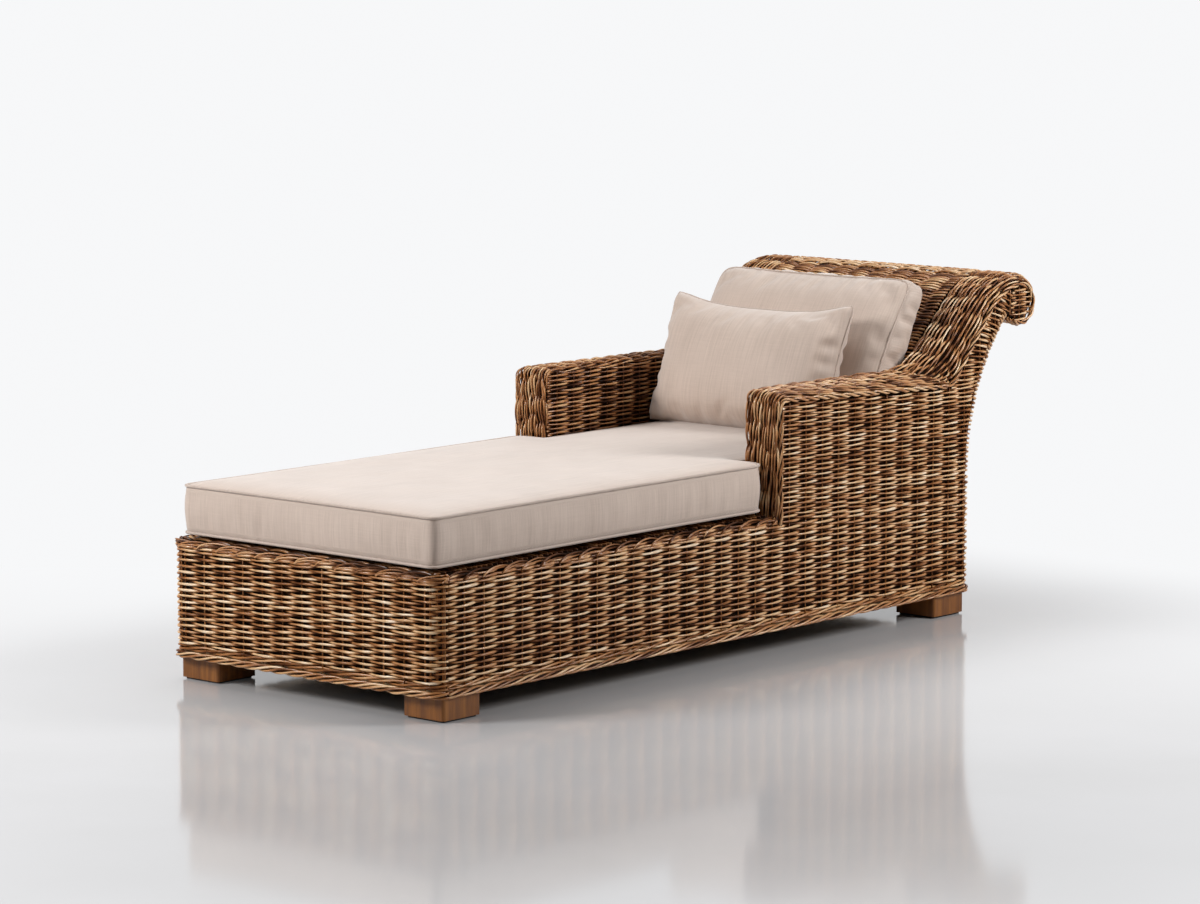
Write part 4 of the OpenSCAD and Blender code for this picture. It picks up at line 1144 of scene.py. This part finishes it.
for cane_side in SIDE_NAMES:
    cane_piece(cane_side)
bottom_border("rope_bottom_border_front", "bottom_border_front",
              [(40, RIM_PARTS["front_left"][0], RIM_PARTS["front_right"][1])])
bottom_border("rope_bottom_border_rear", "bottom_border_rear",
              [(40, RIM_PARTS["rear_right"][0], RIM_PARTS["rear_left"][1])])
bottom_border("rope_bottom_borders_side", "bottom_borders_side",
              [(42, *RIM_PARTS["right"]), (43, *RIM_PARTS["left"])])
ARM_AT = ARM_FRONT_Y - FACE_FRONT_Y - CORNER_R
top_border("border_foot", "top_border_foot", RIM_PARTS["front_left"][0], RIM_PARTS["front_right"][1])
top_border("border_right", "top_border_right", RIM_PARTS["right"][0], RIM_PARTS["right"][0] + ARM_AT - GAP)
top_border("border_left", "top_border_left", RIM_PARTS["left"][1] - ARM_AT + GAP, RIM_PARTS["left"][1])


# Cushions

SEAT_CUSHION_LOW, SEAT_CUSHION_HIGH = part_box("seat_cushion")
PIPING_R = 3 * MM
SEAT_LOW_CROWN = 10 * MM
SEAT_CROWN = 16 * MM
SEAT_TOP_Z = SEAT_CUSHION_HIGH.z
SEAT_TOP_SEAM_Z = SEAT_TOP_Z - SEAT_CROWN
SEAT_LOW_SEAM_Z = SEAT_CUSHION_LOW.z + SEAT_LOW_CROWN
SEAT_HALF_W = SEAT_CUSHION_HIGH.x
SEAT_Y0 = SEAT_CUSHION_LOW.y
SEAT_Y1 = SEAT_CUSHION_HIGH.y
LOOSE = 3 * MM + 2 * PIPING_R
SEAT_STEP_Y = ARM_FRONT_Y - LOOSE
SEAT_IN_X = ARM_IN_X - LOOSE
SEAT_PULL = 4 * MM
CELL = 12 * MM
GUSSET_LEVELS = 8


def soft_noise(points, scale, seed, octaves=2):
    """Smooth noise of each point, about -1 to 1."""
    offset = Vector((seed * 13.7, seed * 5.1, seed * 9.3))
    return np.array([noise.fractal(Vector(p) * scale + offset, 1.0, 2.0, octaves) for p in points])


def linen_material(name, stops):
    look = Look(name)
    cloth = look.attribute("cloth", "Vector")
    slub = look.noise(cloth, (250, 7, 7), 4.0, 0.7)
    weft = look.noise(cloth, (14, 380, 14), 3.0, 0.6)
    cloud = look.noise(cloth, (7, 7, 7), 3.0, 0.5)
    both = look.math("MULTIPLY_ADD", weft, 0.3, slub)
    mixed = look.math("MULTIPLY_ADD", cloud, 0.45, both)
    look.shade(Base_Color=look.ramp(look.math("MULTIPLY", mixed, 0.56), stops), Roughness=0.62,
               Specular_IOR_Level=0.5, Sheen_Weight=0.5, Sheen_Roughness=0.5)
    look.bump(both, 0.4, 0.8 * MM)
    return look.material


LINEN = linen_material("linen_look", [(0.3, (0.42, 0.325, 0.265)), (0.5, (0.53, 0.42, 0.35)),
                                      (0.72, (0.63, 0.51, 0.43))])
PIPING = linen_material("linen_piping_look", [(0.3, (0.40, 0.305, 0.25)), (0.7, (0.56, 0.45, 0.38))])


def boundary_of(cells):
    """Vertex numbers round the open edge of a grid of cells, in order."""
    edges = {(a, b) for c in cells for a, b in zip(c, c[1:] + c[:1])}
    after = {a: b for a, b in edges if (b, a) not in edges}
    start = min(after)
    loop = [start]
    while after[loop[-1]] != start:
        loop.append(after[loop[-1]])
    return loop


def closed_cushion(name, top, low, cells, boundary, rings, cloth):
    """A closed mesh of a top grid, gusset rings and a bottom grid."""
    count = len(top)
    m = len(boundary)
    levels = [list(boundary)]
    levels += [[2 * count + level * m + k for k in range(m)] for level in range(len(rings))]
    levels += [[count + v for v in boundary]]
    faces = [list(c) for c in cells]
    faces += [[count + v for v in reversed(c)] for c in cells]
    for upper, lower in zip(levels, levels[1:]):
        faces += [[upper[k], lower[k], lower[(k + 1) % m], upper[(k + 1) % m]] for k in range(m)]
    mesh = bpy.data.meshes.new(name)
    mesh.from_pydata([tuple(p) for block in [top, low] + rings for p in block], [], faces)
    mesh.materials.append(LINEN)
    mesh.polygons.foreach_set("use_smooth", np.ones(len(faces), bool))
    point_attribute(mesh, "cloth", np.concatenate(cloth))
    mesh.update()
    return placed(name, mesh)


def soft_piece(thing, node):
    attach(thing, node)
    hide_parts(node)


def piping_tube(name, loops, out, radius, node, body):
    """Round cords along closed seams."""
    bundle = Bundle()
    for k, loop in enumerate(loops):
        closed = np.vstack([loop, loop[:2]])
        bundle.tube(closed, each(out, closed), radius, seeded(14, k), 0.5, sides=8)
    thing = bundle.build(name, [PIPING])
    point_attribute(thing.data, "cloth", np.array([v.co for v in thing.data.vertices]))
    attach(thing, body)
    if node:
        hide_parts(node)


def seat_grid():
    def axis(stops):
        parts = [spaced(a, b, CELL)[:-1] for a, b in zip(stops[:-1], stops[1:])]
        return np.concatenate(parts + [[stops[-1]]])

    xs = axis([-SEAT_HALF_W, -SEAT_IN_X, SEAT_IN_X, SEAT_HALF_W])
    ys = axis([SEAT_Y0, SEAT_STEP_Y, SEAT_Y1])
    number = {}
    cells = []
    for i in range(len(xs) - 1):
        for j in range(len(ys) - 1):
            if abs(xs[i] + xs[i + 1]) / 2 > SEAT_IN_X and (ys[j] + ys[j + 1]) / 2 > SEAT_STEP_Y:
                continue
            corners = ((i, j), (i + 1, j), (i + 1, j + 1), (i, j + 1))
            cells.append(tuple(number.setdefault(c, len(number)) for c in corners))
    return np.array([(xs[i], ys[j]) for i, j in number]), cells


SEAT_CORNERS = [
    (-SEAT_HALF_W, SEAT_Y0, 1, 1, 16 * MM), (SEAT_HALF_W, SEAT_Y0, -1, 1, 16 * MM),
    (SEAT_HALF_W, SEAT_STEP_Y, -1, -1, 34 * MM), (-SEAT_HALF_W, SEAT_STEP_Y, 1, -1, 34 * MM),
    (SEAT_IN_X, SEAT_Y1, -1, -1, 14 * MM), (-SEAT_IN_X, SEAT_Y1, 1, -1, 14 * MM),
]


def rounded_corners(points):
    """Pulls the outline's points in at its outer corners, on arcs."""
    moved = points.copy()
    for cx, cy, dx, dy, r in SEAT_CORNERS:
        local = (points - [cx, cy]) * [dx, dy]
        near = (local[:, 0] < r) & (local[:, 1] < r) & (local.min(1) > -1e-6)
        from_centre = local - r
        size = np.linalg.norm(from_centre, axis=1)
        arc = r + from_centre / np.where(size == 0, 1, size)[:, None] * r
        change = np.where((near & (size > r))[:, None], arc - local, 0)
        moved += change * [dx, dy]
    return moved


def seat_bow(points):
    """Moves the sides in between their corners."""
    moved = points.copy()
    f = np.clip((points[:, 1] - SEAT_Y0) / (SEAT_STEP_Y - SEAT_Y0), 0, 1)
    on_side = np.abs(np.abs(points[:, 0]) - SEAT_HALF_W) < 1e-6
    moved[:, 0] -= np.where(on_side, np.sign(points[:, 0]) * SEAT_PULL * 4 * f * (1 - f), 0)
    g = np.abs(points[:, 0]) / SEAT_HALF_W
    on_foot = np.abs(points[:, 1] - SEAT_Y0) < 1e-6
    moved[:, 1] += np.where(on_foot, SEAT_PULL * (1 - g ** 2), 0)
    return moved


def edge_distance(points, loop):
    best = np.full(len(points), 9.0)
    for p, q in zip(loop, np.roll(loop, -1, axis=0)):
        d = q - p
        f = np.clip(((points - p) @ d) / (d @ d), 0, 1)
        best = np.minimum(best, np.linalg.norm(points - p - f[:, None] * d, axis=1))
    return best


def plump(distance, reach):
    return 1 - np.exp(-(distance / reach) ** 0.8)


def make_seat_cushion():
    flat, cells = seat_grid()
    loop = boundary_of(cells)
    edge = flat[loop]
    change = (rounded_corners(seat_bow(flat)) - flat)[loop]
    distance = edge_distance(flat, edge)
    away = np.array([np.linalg.norm(p - edge, axis=1) for p in flat])
    fade = np.clip(1 - away.min(1) / (50 * MM), 0, 1)
    moved = flat + change[away.argmin(1)] * fade[:, None]
    boundary = moved[loop]
    rim = run_of(np.vstack([boundary, boundary[:1]]))[:-1]
    swell = 1 - np.exp(-distance / (36 * MM))
    plan = at_height(moved, 0.0)
    near = np.exp(-distance / (16 * MM)) * (distance > 1e-6)
    waves = 2.0 * MM * soft_noise(plan, 3.2, 1) + 0.8 * MM * soft_noise(plan, 17.0, 2)
    top_z = SEAT_TOP_SEAM_Z + SEAT_CROWN * swell
    top_z += waves * swell + 1.2 * MM * soft_noise(plan, 60.0, 3, 1) * near
    top = np.column_stack([moved, top_z])
    bottom = np.column_stack([moved, SEAT_LOW_SEAM_Z - SEAT_LOW_CROWN * swell])
    out = np.roll(boundary, -1, axis=0) - np.roll(boundary, 1, axis=0)
    out = unit(np.column_stack([out[:, 1], -out[:, 0]]))
    rings = []
    cloth = [plan, plan + (0, 5, 0)]
    for level in range(1, GUSSET_LEVELS):
        f = level / GUSSET_LEVELS
        z = SEAT_TOP_SEAM_Z + (SEAT_LOW_SEAM_Z - SEAT_TOP_SEAM_Z) * f
        crease = soft_noise(at_height(boundary, z * 0.2), 40.0, 4)
        bulge = (4.5 * MM + 2.4 * MM * crease) * math.sin(math.pi * f)
        rings.append(at_height(boundary + out * bulge[:, None], z))
        cloth.append(np.column_stack([rim, each((z, 2), rim)]))
    thing = closed_cushion("seat_cushion_linen", top, bottom, cells, loop, rings, cloth)
    soft_piece(thing, "seat_cushion")
    loops = [at_height(boundary + out * 1.2 * MM, z) for z in (SEAT_TOP_SEAM_Z + MM, SEAT_LOW_SEAM_Z - MM)]
    piping_tube("seat_cushion_piping", loops, (0, 0, 1), 3.4 * MM, "seat_piping", "seat_cushion")


make_seat_cushion()


# Leaned cushions: u across, v up the lean, w forwards

LEAN_Z = SEAT_TOP_Z + GAP
BACK_LEAN = 24
BACK_H = 360 * MM
BACK_T = 84 * MM
BACK_CROWN = 34 * MM
BACK_NARROW = 0.4
BACK_PULL = 5 * MM
BACK_HALF_W = high("back_cushion").x
PILLOW_LEAN = 20
PILLOW_H = 326 * MM
PILLOW_HALF_T = 68 * MM
PILLOW_SIDE_PULL = 16 * MM
PILLOW_TOP_SAG = 34 * MM
PILLOW_HALF_W = (high("lumbar_pillow").x - low("lumbar_pillow").x) / 2
PILLOW_SHIFT = (high("lumbar_pillow").x + low("lumbar_pillow").x) / 2
INNER_TURN = INNER_ANGLE + BACK_LEAN - 90
BACK_REST = place_on(inner()[1], INNER_TURN / (INNER_ANGLE - SWEEP_ANGLE))
LEAN_COS = math.cos(math.radians(BACK_LEAN))
LEAN_TAN = math.tan(math.radians(BACK_LEAN))
BACK_Y0 = BACK_REST[0] - GAP / LEAN_COS - (BACK_REST[1] - LEAN_Z) * LEAN_TAN
PILLOW_COS = math.cos(math.radians(PILLOW_LEAN))
PILLOW_Y0 = (BACK_Y0 - GAP - (BACK_T + BACK_CROWN) / LEAN_COS - PILLOW_HALF_T / PILLOW_COS
             + PILLOW_H / 2 * PILLOW_COS * (LEAN_TAN - math.tan(math.radians(PILLOW_LEAN))))


def leaned(u, v, w, lean, y, h):
    f = np.clip(v / h, 0, 1)
    c, s = ahead(lean)
    return np.column_stack([u, y + v * s - w * (c * f + (1 - f) / c), LEAN_Z + v * c + w * s * f])


def leaned_out(lean):
    """Forwards, square to a lean."""
    c, s = ahead(lean)
    return (0.0, -c, s)


def square_grid(half_w, height, cell):
    nu = max(4, round(2 * half_w / cell))
    nv = max(4, round(height / cell))
    u, v = np.meshgrid(np.linspace(-1, 1, nu + 1), np.linspace(-1, 1, nv + 1), indexing="ij")
    starts = [i * (nv + 1) + j for i in range(nu) for j in range(nv)]
    return u.ravel(), v.ravel(), [(a, a + nv + 1, a + nv + 2, a + 1) for a in starts]


def coordinates(mesh):
    values = np.empty(len(mesh.vertices) * 3, np.float32)
    mesh.vertices.foreach_get("co", values)
    return values.reshape(-1, 3)


def soften(thing, pins, pressure, shrink, cap):
    """Runs the cloth simulation on a cushion, and keeps its result within a cap."""
    mesh = thing.data
    start = coordinates(mesh)
    group = thing.vertex_groups.new(name="pin")
    group.add([int(p) for p in pins], 1.0, "REPLACE")
    modifier = thing.modifiers.new("cloth", "CLOTH")
    settings = modifier.settings
    settings.quality = 5
    settings.mass = 0.15
    settings.use_pressure = True
    settings.uniform_pressure_force = pressure
    settings.effector_weights.gravity = 0
    settings.tension_stiffness = 12
    settings.compression_stiffness = 8
    settings.bending_stiffness = 0.3
    settings.vertex_group_mass = "pin"
    settings.shrink_min = shrink
    modifier.collision_settings.use_collision = False
    scene = bpy.context.scene
    for number in range(1, 19):
        scene.frame_set(number)
    after = coordinates(thing.evaluated_get(bpy.context.evaluated_depsgraph_get()).data)
    thing.modifiers.remove(modifier)
    thing.vertex_groups.remove(group)
    scene.frame_set(1)
    change = after - start
    size = np.linalg.norm(change, axis=1)
    limit = np.full(len(size), cap)
    keep = limit * np.tanh(size / np.maximum(limit, 1e-6)) / np.maximum(size, 1e-9)
    final = start + change * keep[:, None]
    final[:, 2] = np.maximum(final[:, 2], np.minimum(start[:, 2], LEAN_Z + GAP))
    mesh.vertices.foreach_set("co", final.astype(np.float32).ravel())
    mesh.update()


def subdivided(thing):
    modifier = thing.modifiers.new("smooth", "SUBSURF")
    modifier.levels = 1
    modifier.render_levels = 1
    bpy.context.view_layer.objects.active = thing
    for other in bpy.context.selected_objects:
        other.select_set(False)
    thing.select_set(True)
    bpy.ops.object.modifier_apply(modifier=modifier.name)
    thing.data.polygons.foreach_set("use_smooth", np.ones(len(thing.data.polygons), bool))


def squircle(u, v, power):
    """Moves a square grid's points so that its corners round off."""
    size = (np.abs(u) ** power + np.abs(v) ** power) ** (1 / power)
    edge = np.maximum(np.abs(u), np.abs(v))
    k = np.where(size > 0, edge / np.where(size == 0, 1, size), 1)
    return u * (1 + (k - 1) * edge ** 6), v * (1 + (k - 1) * edge ** 6)


def make_back_cushion():
    u, v, cells = square_grid(BACK_HALF_W, BACK_H, 11 * MM)
    loop = boundary_of(cells)
    ru, rv = squircle(u, v, 14)
    lift = 2 * PIPING_R + GAP
    du = (1 - np.abs(u)) * BACK_HALF_W
    dv = (1 - np.abs(v)) * BACK_H / 2
    share = plump(np.minimum(du, dv) + 0.35 * np.sqrt(du * dv), 55 * MM)
    x = ru * (BACK_HALF_W - BACK_PULL * (1 - rv ** 2) * np.abs(ru))
    sag = BACK_PULL * (1 - ru ** 2) * np.clip(rv, 0, 1) ** 3
    front_v = lift + (rv + 1) / 2 * (BACK_H - lift) - sag
    rear_v = (rv + 1) / 2 * BACK_H - sag
    lean = (BACK_LEAN, BACK_Y0, BACK_H)

    def seam_w(at):
        return BACK_T * (1 - BACK_NARROW * np.clip(at / BACK_H, 0, 1) ** 3)

    wave = soft_noise(np.column_stack([x, front_v, np.zeros(len(x))]), 6.0, 6)
    top = leaned(x, front_v, seam_w(front_v) + BACK_CROWN * share + 2.5 * MM * wave * share, *lean)
    low_side = leaned(x, rear_v, 0 * x, *lean)
    rings = []
    cloth = [np.column_stack([x, front_v, 0 * x]), np.column_stack([x + 3, rear_v, 0 * x])]
    rim = run_of(np.vstack([top[loop], top[loop][:1]]))[:-1]
    for level in range(1, GUSSET_LEVELS):
        f = level / GUSSET_LEVELS
        gx = x[loop]
        gv = front_v[loop] * (1 - f) + rear_v[loop] * f
        gw = seam_w(front_v[loop]) * (1 - f)
        away = unit(np.column_stack([gx, gv]) - (0.0, BACK_H / 2))
        drawn = soft_noise(np.column_stack([gx, front_v[loop], np.full(len(loop), f * 0.02)]), 26.0, 7)
        crease = 1 - 2 * np.exp(-(drawn / 0.16) ** 2)
        bulge = (6 * MM + 6 * MM * crease) * math.sin(math.pi * f) ** 0.7
        held = np.clip(gv / (20 * MM), 0, 1)
        rings.append(leaned(gx + away[:, 0] * bulge, gv + away[:, 1] * bulge * held, gw, *lean))
        cloth.append(np.column_stack([rim, gw, np.full(len(loop), 2.0)]))
    thing = closed_cushion("back_cushion_linen", top, low_side, cells, loop, rings, cloth)
    soften(thing, loop + list(range(len(top), 2 * len(top))), 2.0, -0.03, 10 * MM)
    subdivided(thing)
    soft_piece(thing, "back_cushion")
    out = np.array(leaned_out(BACK_LEAN))
    piping_tube("back_cushion_piping", [top[loop] + out * 0.5 * MM], out, 2.2 * MM,
                "back_piping", "back_cushion")


def make_pillow():
    u, v, cells = square_grid(PILLOW_HALF_W, PILLOW_H, 10 * MM)
    loop = boundary_of(cells)
    corner = np.clip(np.abs(u) + np.abs(v) - 1.8, 0, 1) / 0.2
    x = u * (PILLOW_HALF_W - PILLOW_SIDE_PULL * (1 - v ** 2)) * (1 - 0.035 * corner ** 2)
    top_v = PILLOW_H - PILLOW_TOP_SAG * (1 - np.abs(u) ** 3)
    height = (v + 1) / 2 * top_v - np.where(v > 0, 9 * MM, 0) * corner ** 2
    side = (1 - np.abs(u)) * PILLOW_HALF_W
    share = (1 - u ** 2) ** 0.34 * (1 - v ** 2) ** 0.4
    wave = soft_noise(np.column_stack([x, height, np.zeros(len(x))]), 7.0, 8)
    pucker = soft_noise(np.column_stack([x * 0.35, height, np.zeros(len(x))]), 38.0, 9, 1)
    folds = 1 + 0.03 * wave + 0.3 * pucker * np.exp(-side / (26 * MM))
    thick = 1 * MM + (PILLOW_HALF_T - 3 * MM) * share * folds
    front, rear_side = (leaned(x, height, w, PILLOW_LEAN, PILLOW_Y0, PILLOW_H) for w in (thick, -thick))
    front[:, 0] += PILLOW_SHIFT
    rear_side[:, 0] += PILLOW_SHIFT
    cloth = [np.column_stack([x + shift, height, 0 * x]) for shift in (0, 3)]
    thing = closed_cushion("lumbar_pillow_linen", front, rear_side, cells, loop, [], cloth)
    soften(thing, loop + [len(front) + p for p in loop], 2.5, -0.04, 12 * MM)
    subdivided(thing)
    soft_piece(thing, "lumbar_pillow")
    piping_tube("lumbar_pillow_seam", [(front[loop] + rear_side[loop]) / 2], leaned_out(PILLOW_LEAN),
                1.8 * MM, None, "lumbar_pillow")


make_back_cushion()
make_pillow()


# Timber, poles and fittings that keep their own solids

def timber_material(name, stops, scale, rough, metallic=0.0):
    look = Look(name)
    position = look.node("ShaderNodeTexCoord").outputs["Object"]
    grain = look.noise(position, scale, 5.0, 0.62)
    look.shade(Base_Color=look.ramp(grain, stops), Roughness=rough, Metallic=metallic)
    look.bump(grain, 0.3, 0.5 * MM)
    return look.material


KEPT_LOOKS = {
    "foot_timber": timber_material("foot_timber_look", [
        (0.3, (0.115, 0.034, 0.003)), (0.5, (0.185, 0.060, 0.006)),
        (0.7, (0.270, 0.098, 0.012))], (90, 90, 7), 0.5),
    "frame_timber": timber_material("frame_timber_look", [
        (0.3, (0.34, 0.22, 0.12)), (0.7, (0.50, 0.35, 0.20))], (40, 6, 40), 0.6),
    "rattan_pole": timber_material("rattan_pole_look", [
        (0.3, (0.40, 0.27, 0.13)), (0.7, (0.58, 0.42, 0.23))], (30, 30, 30), 0.45),
    "glide": timber_material("glide_look", [
        (0.3, (0.012, 0.012, 0.012)), (0.7, (0.03, 0.03, 0.03))], (200, 200, 200), 0.6),
    "steel": timber_material("steel_look", [
        (0.3, (0.45, 0.45, 0.46)), (0.7, (0.62, 0.62, 0.63))], (400, 400, 20), 0.35, 1.0),
}
for part in frame["record"]["subparts"]:
    kept_look = KEPT_LOOKS.get(part["material_slot"])
    if kept_look:
        kept = frame["nodes"][part["node"]]
        kept.data.materials.clear()
        kept.data.materials.append(kept_look)


# Floor, background, light and camera

BACKGROUND = (0.93, 0.935, 0.945, 1)
# The backdrop is bright behind the lounger and the studio dim in front of it
BACKDROP_WAY = (-0.659, 0.752, 0.0)
STUDIO_LEVEL = 0.14
FLOOR_HALF_W = 60.0
FLOOR_Z = -0.5 * MM


def floor_material():
    """A glossy pale floor that fades into the backdrop far away."""
    look = Look("floor_look")
    position = look.node("ShaderNodeNewGeometry").outputs["Position"]
    smear = look.noise(position, (2, 2, 2), 3.0, 0.5)
    look.shade(Base_Color=look.ramp(smear, [(0.3, (0.51, 0.505, 0.51)), (0.7, (0.54, 0.535, 0.545))]),
               Roughness=0.09, Specular_IOR_Level=0.8)
    glow = look.node("ShaderNodeEmission", {"Color": BACKGROUND, "Strength": 1.0})
    beyond = look.vector("DOT_PRODUCT", position, BACKDROP_WAY, output="Value")
    away = look.vector("ABSOLUTE", position)
    away = look.vector("SUBTRACT", away, (FACE_X, FACE_BACK_Y, 0))
    away = look.vector("MAXIMUM", away, (0, 0, 0))
    clear = look.vector("LENGTH", away, output="Value")
    back = look.smooth(beyond, -1.8, 1.0)
    open_floor = look.smooth(clear, 0.05, 0.9)
    distant = look.smooth(clear, 1.0, 3.6)
    far = look.math("MAXIMUM", look.math("MULTIPLY", back, open_floor), distant)
    ray = look.node("ShaderNodeLightPath").outputs
    seen = look.math("MAXIMUM", ray["Is Camera Ray"], ray["Is Glossy Ray"])
    mix = look.node("ShaderNodeMixShader", {"Fac": look.math("MULTIPLY", far, seen),
                                            1: look.shader.outputs["BSDF"], 2: glow.outputs["Emission"]})
    look.put(look.output, {"Surface": mix.outputs["Shader"]})
    return look.material


def lay_floor():
    w = FLOOR_HALF_W
    mesh = bpy.data.meshes.new("floor")
    corners = [(-w, -w, FLOOR_Z), (w, -w, FLOOR_Z), (w, w, FLOOR_Z), (-w, w, FLOOR_Z)]
    mesh.from_pydata(corners, [], [(0, 1, 2, 3)])
    mesh.materials.append(floor_material())
    placed("floor", mesh)


def area_light(name, place, target, size, power):
    data = bpy.data.lights.new(name, "AREA")
    data.shape = "RECTANGLE"
    data.size, data.size_y = size
    data.energy = power
    lamp = placed(name, data)
    lamp.location = place
    lamp.rotation_euler = (Vector(target) - Vector(place)).to_track_quat("-Z", "Y").to_euler()


def studio_world():
    world = bpy.data.worlds.new("studio")
    bpy.context.scene.world = world
    graph = Graph(world)
    direction = graph.node("ShaderNodeTexCoord").outputs["Generated"]
    way = graph.vector("DOT_PRODUCT", direction, BACKDROP_WAY, output="Value")
    level = graph.smooth(way, 0.1, 0.85, STUDIO_LEVEL, 1.0)
    lit = graph.node("ShaderNodeBackground", {"Color": BACKGROUND, "Strength": level})
    plain = graph.node("ShaderNodeBackground", {"Color": BACKGROUND, "Strength": 1.0})
    seen = graph.node("ShaderNodeLightPath").outputs["Is Camera Ray"]
    mix = graph.node("ShaderNodeMixShader", {"Fac": seen, 1: lit.outputs["Background"],
                                             2: plain.outputs["Background"]})
    graph.node("ShaderNodeOutputWorld", {"Surface": mix.outputs["Shader"]})


lay_floor()
area_light("overhead", (-0.6, -0.6, 3.4), (0, 0.2, 0.4), (2.2, 2.6), 36)
area_light("front_left", (-1.9, -4.2, 2.7), (0, -0.4, 0.3), (1.4, 1.4), 185)
area_light("right_side", (3.4, 2.0, 2.6), (0, 0.1, 0.3), (1.2, 1.8), 150)
studio_world()

camera_data = bpy.data.cameras.new("camera")
camera_data.lens = 133.0
camera_data.sensor_width = 36.0
camera = placed("camera", camera_data)
camera.location = (6.6174, -7.6386, 1.7966)
camera.rotation_euler = (math.pi / 2 - 0.13424, 0.0, 0.71925)
bpy.context.scene.camera = camera
bpy.context.scene.view_settings.view_transform = "Standard"
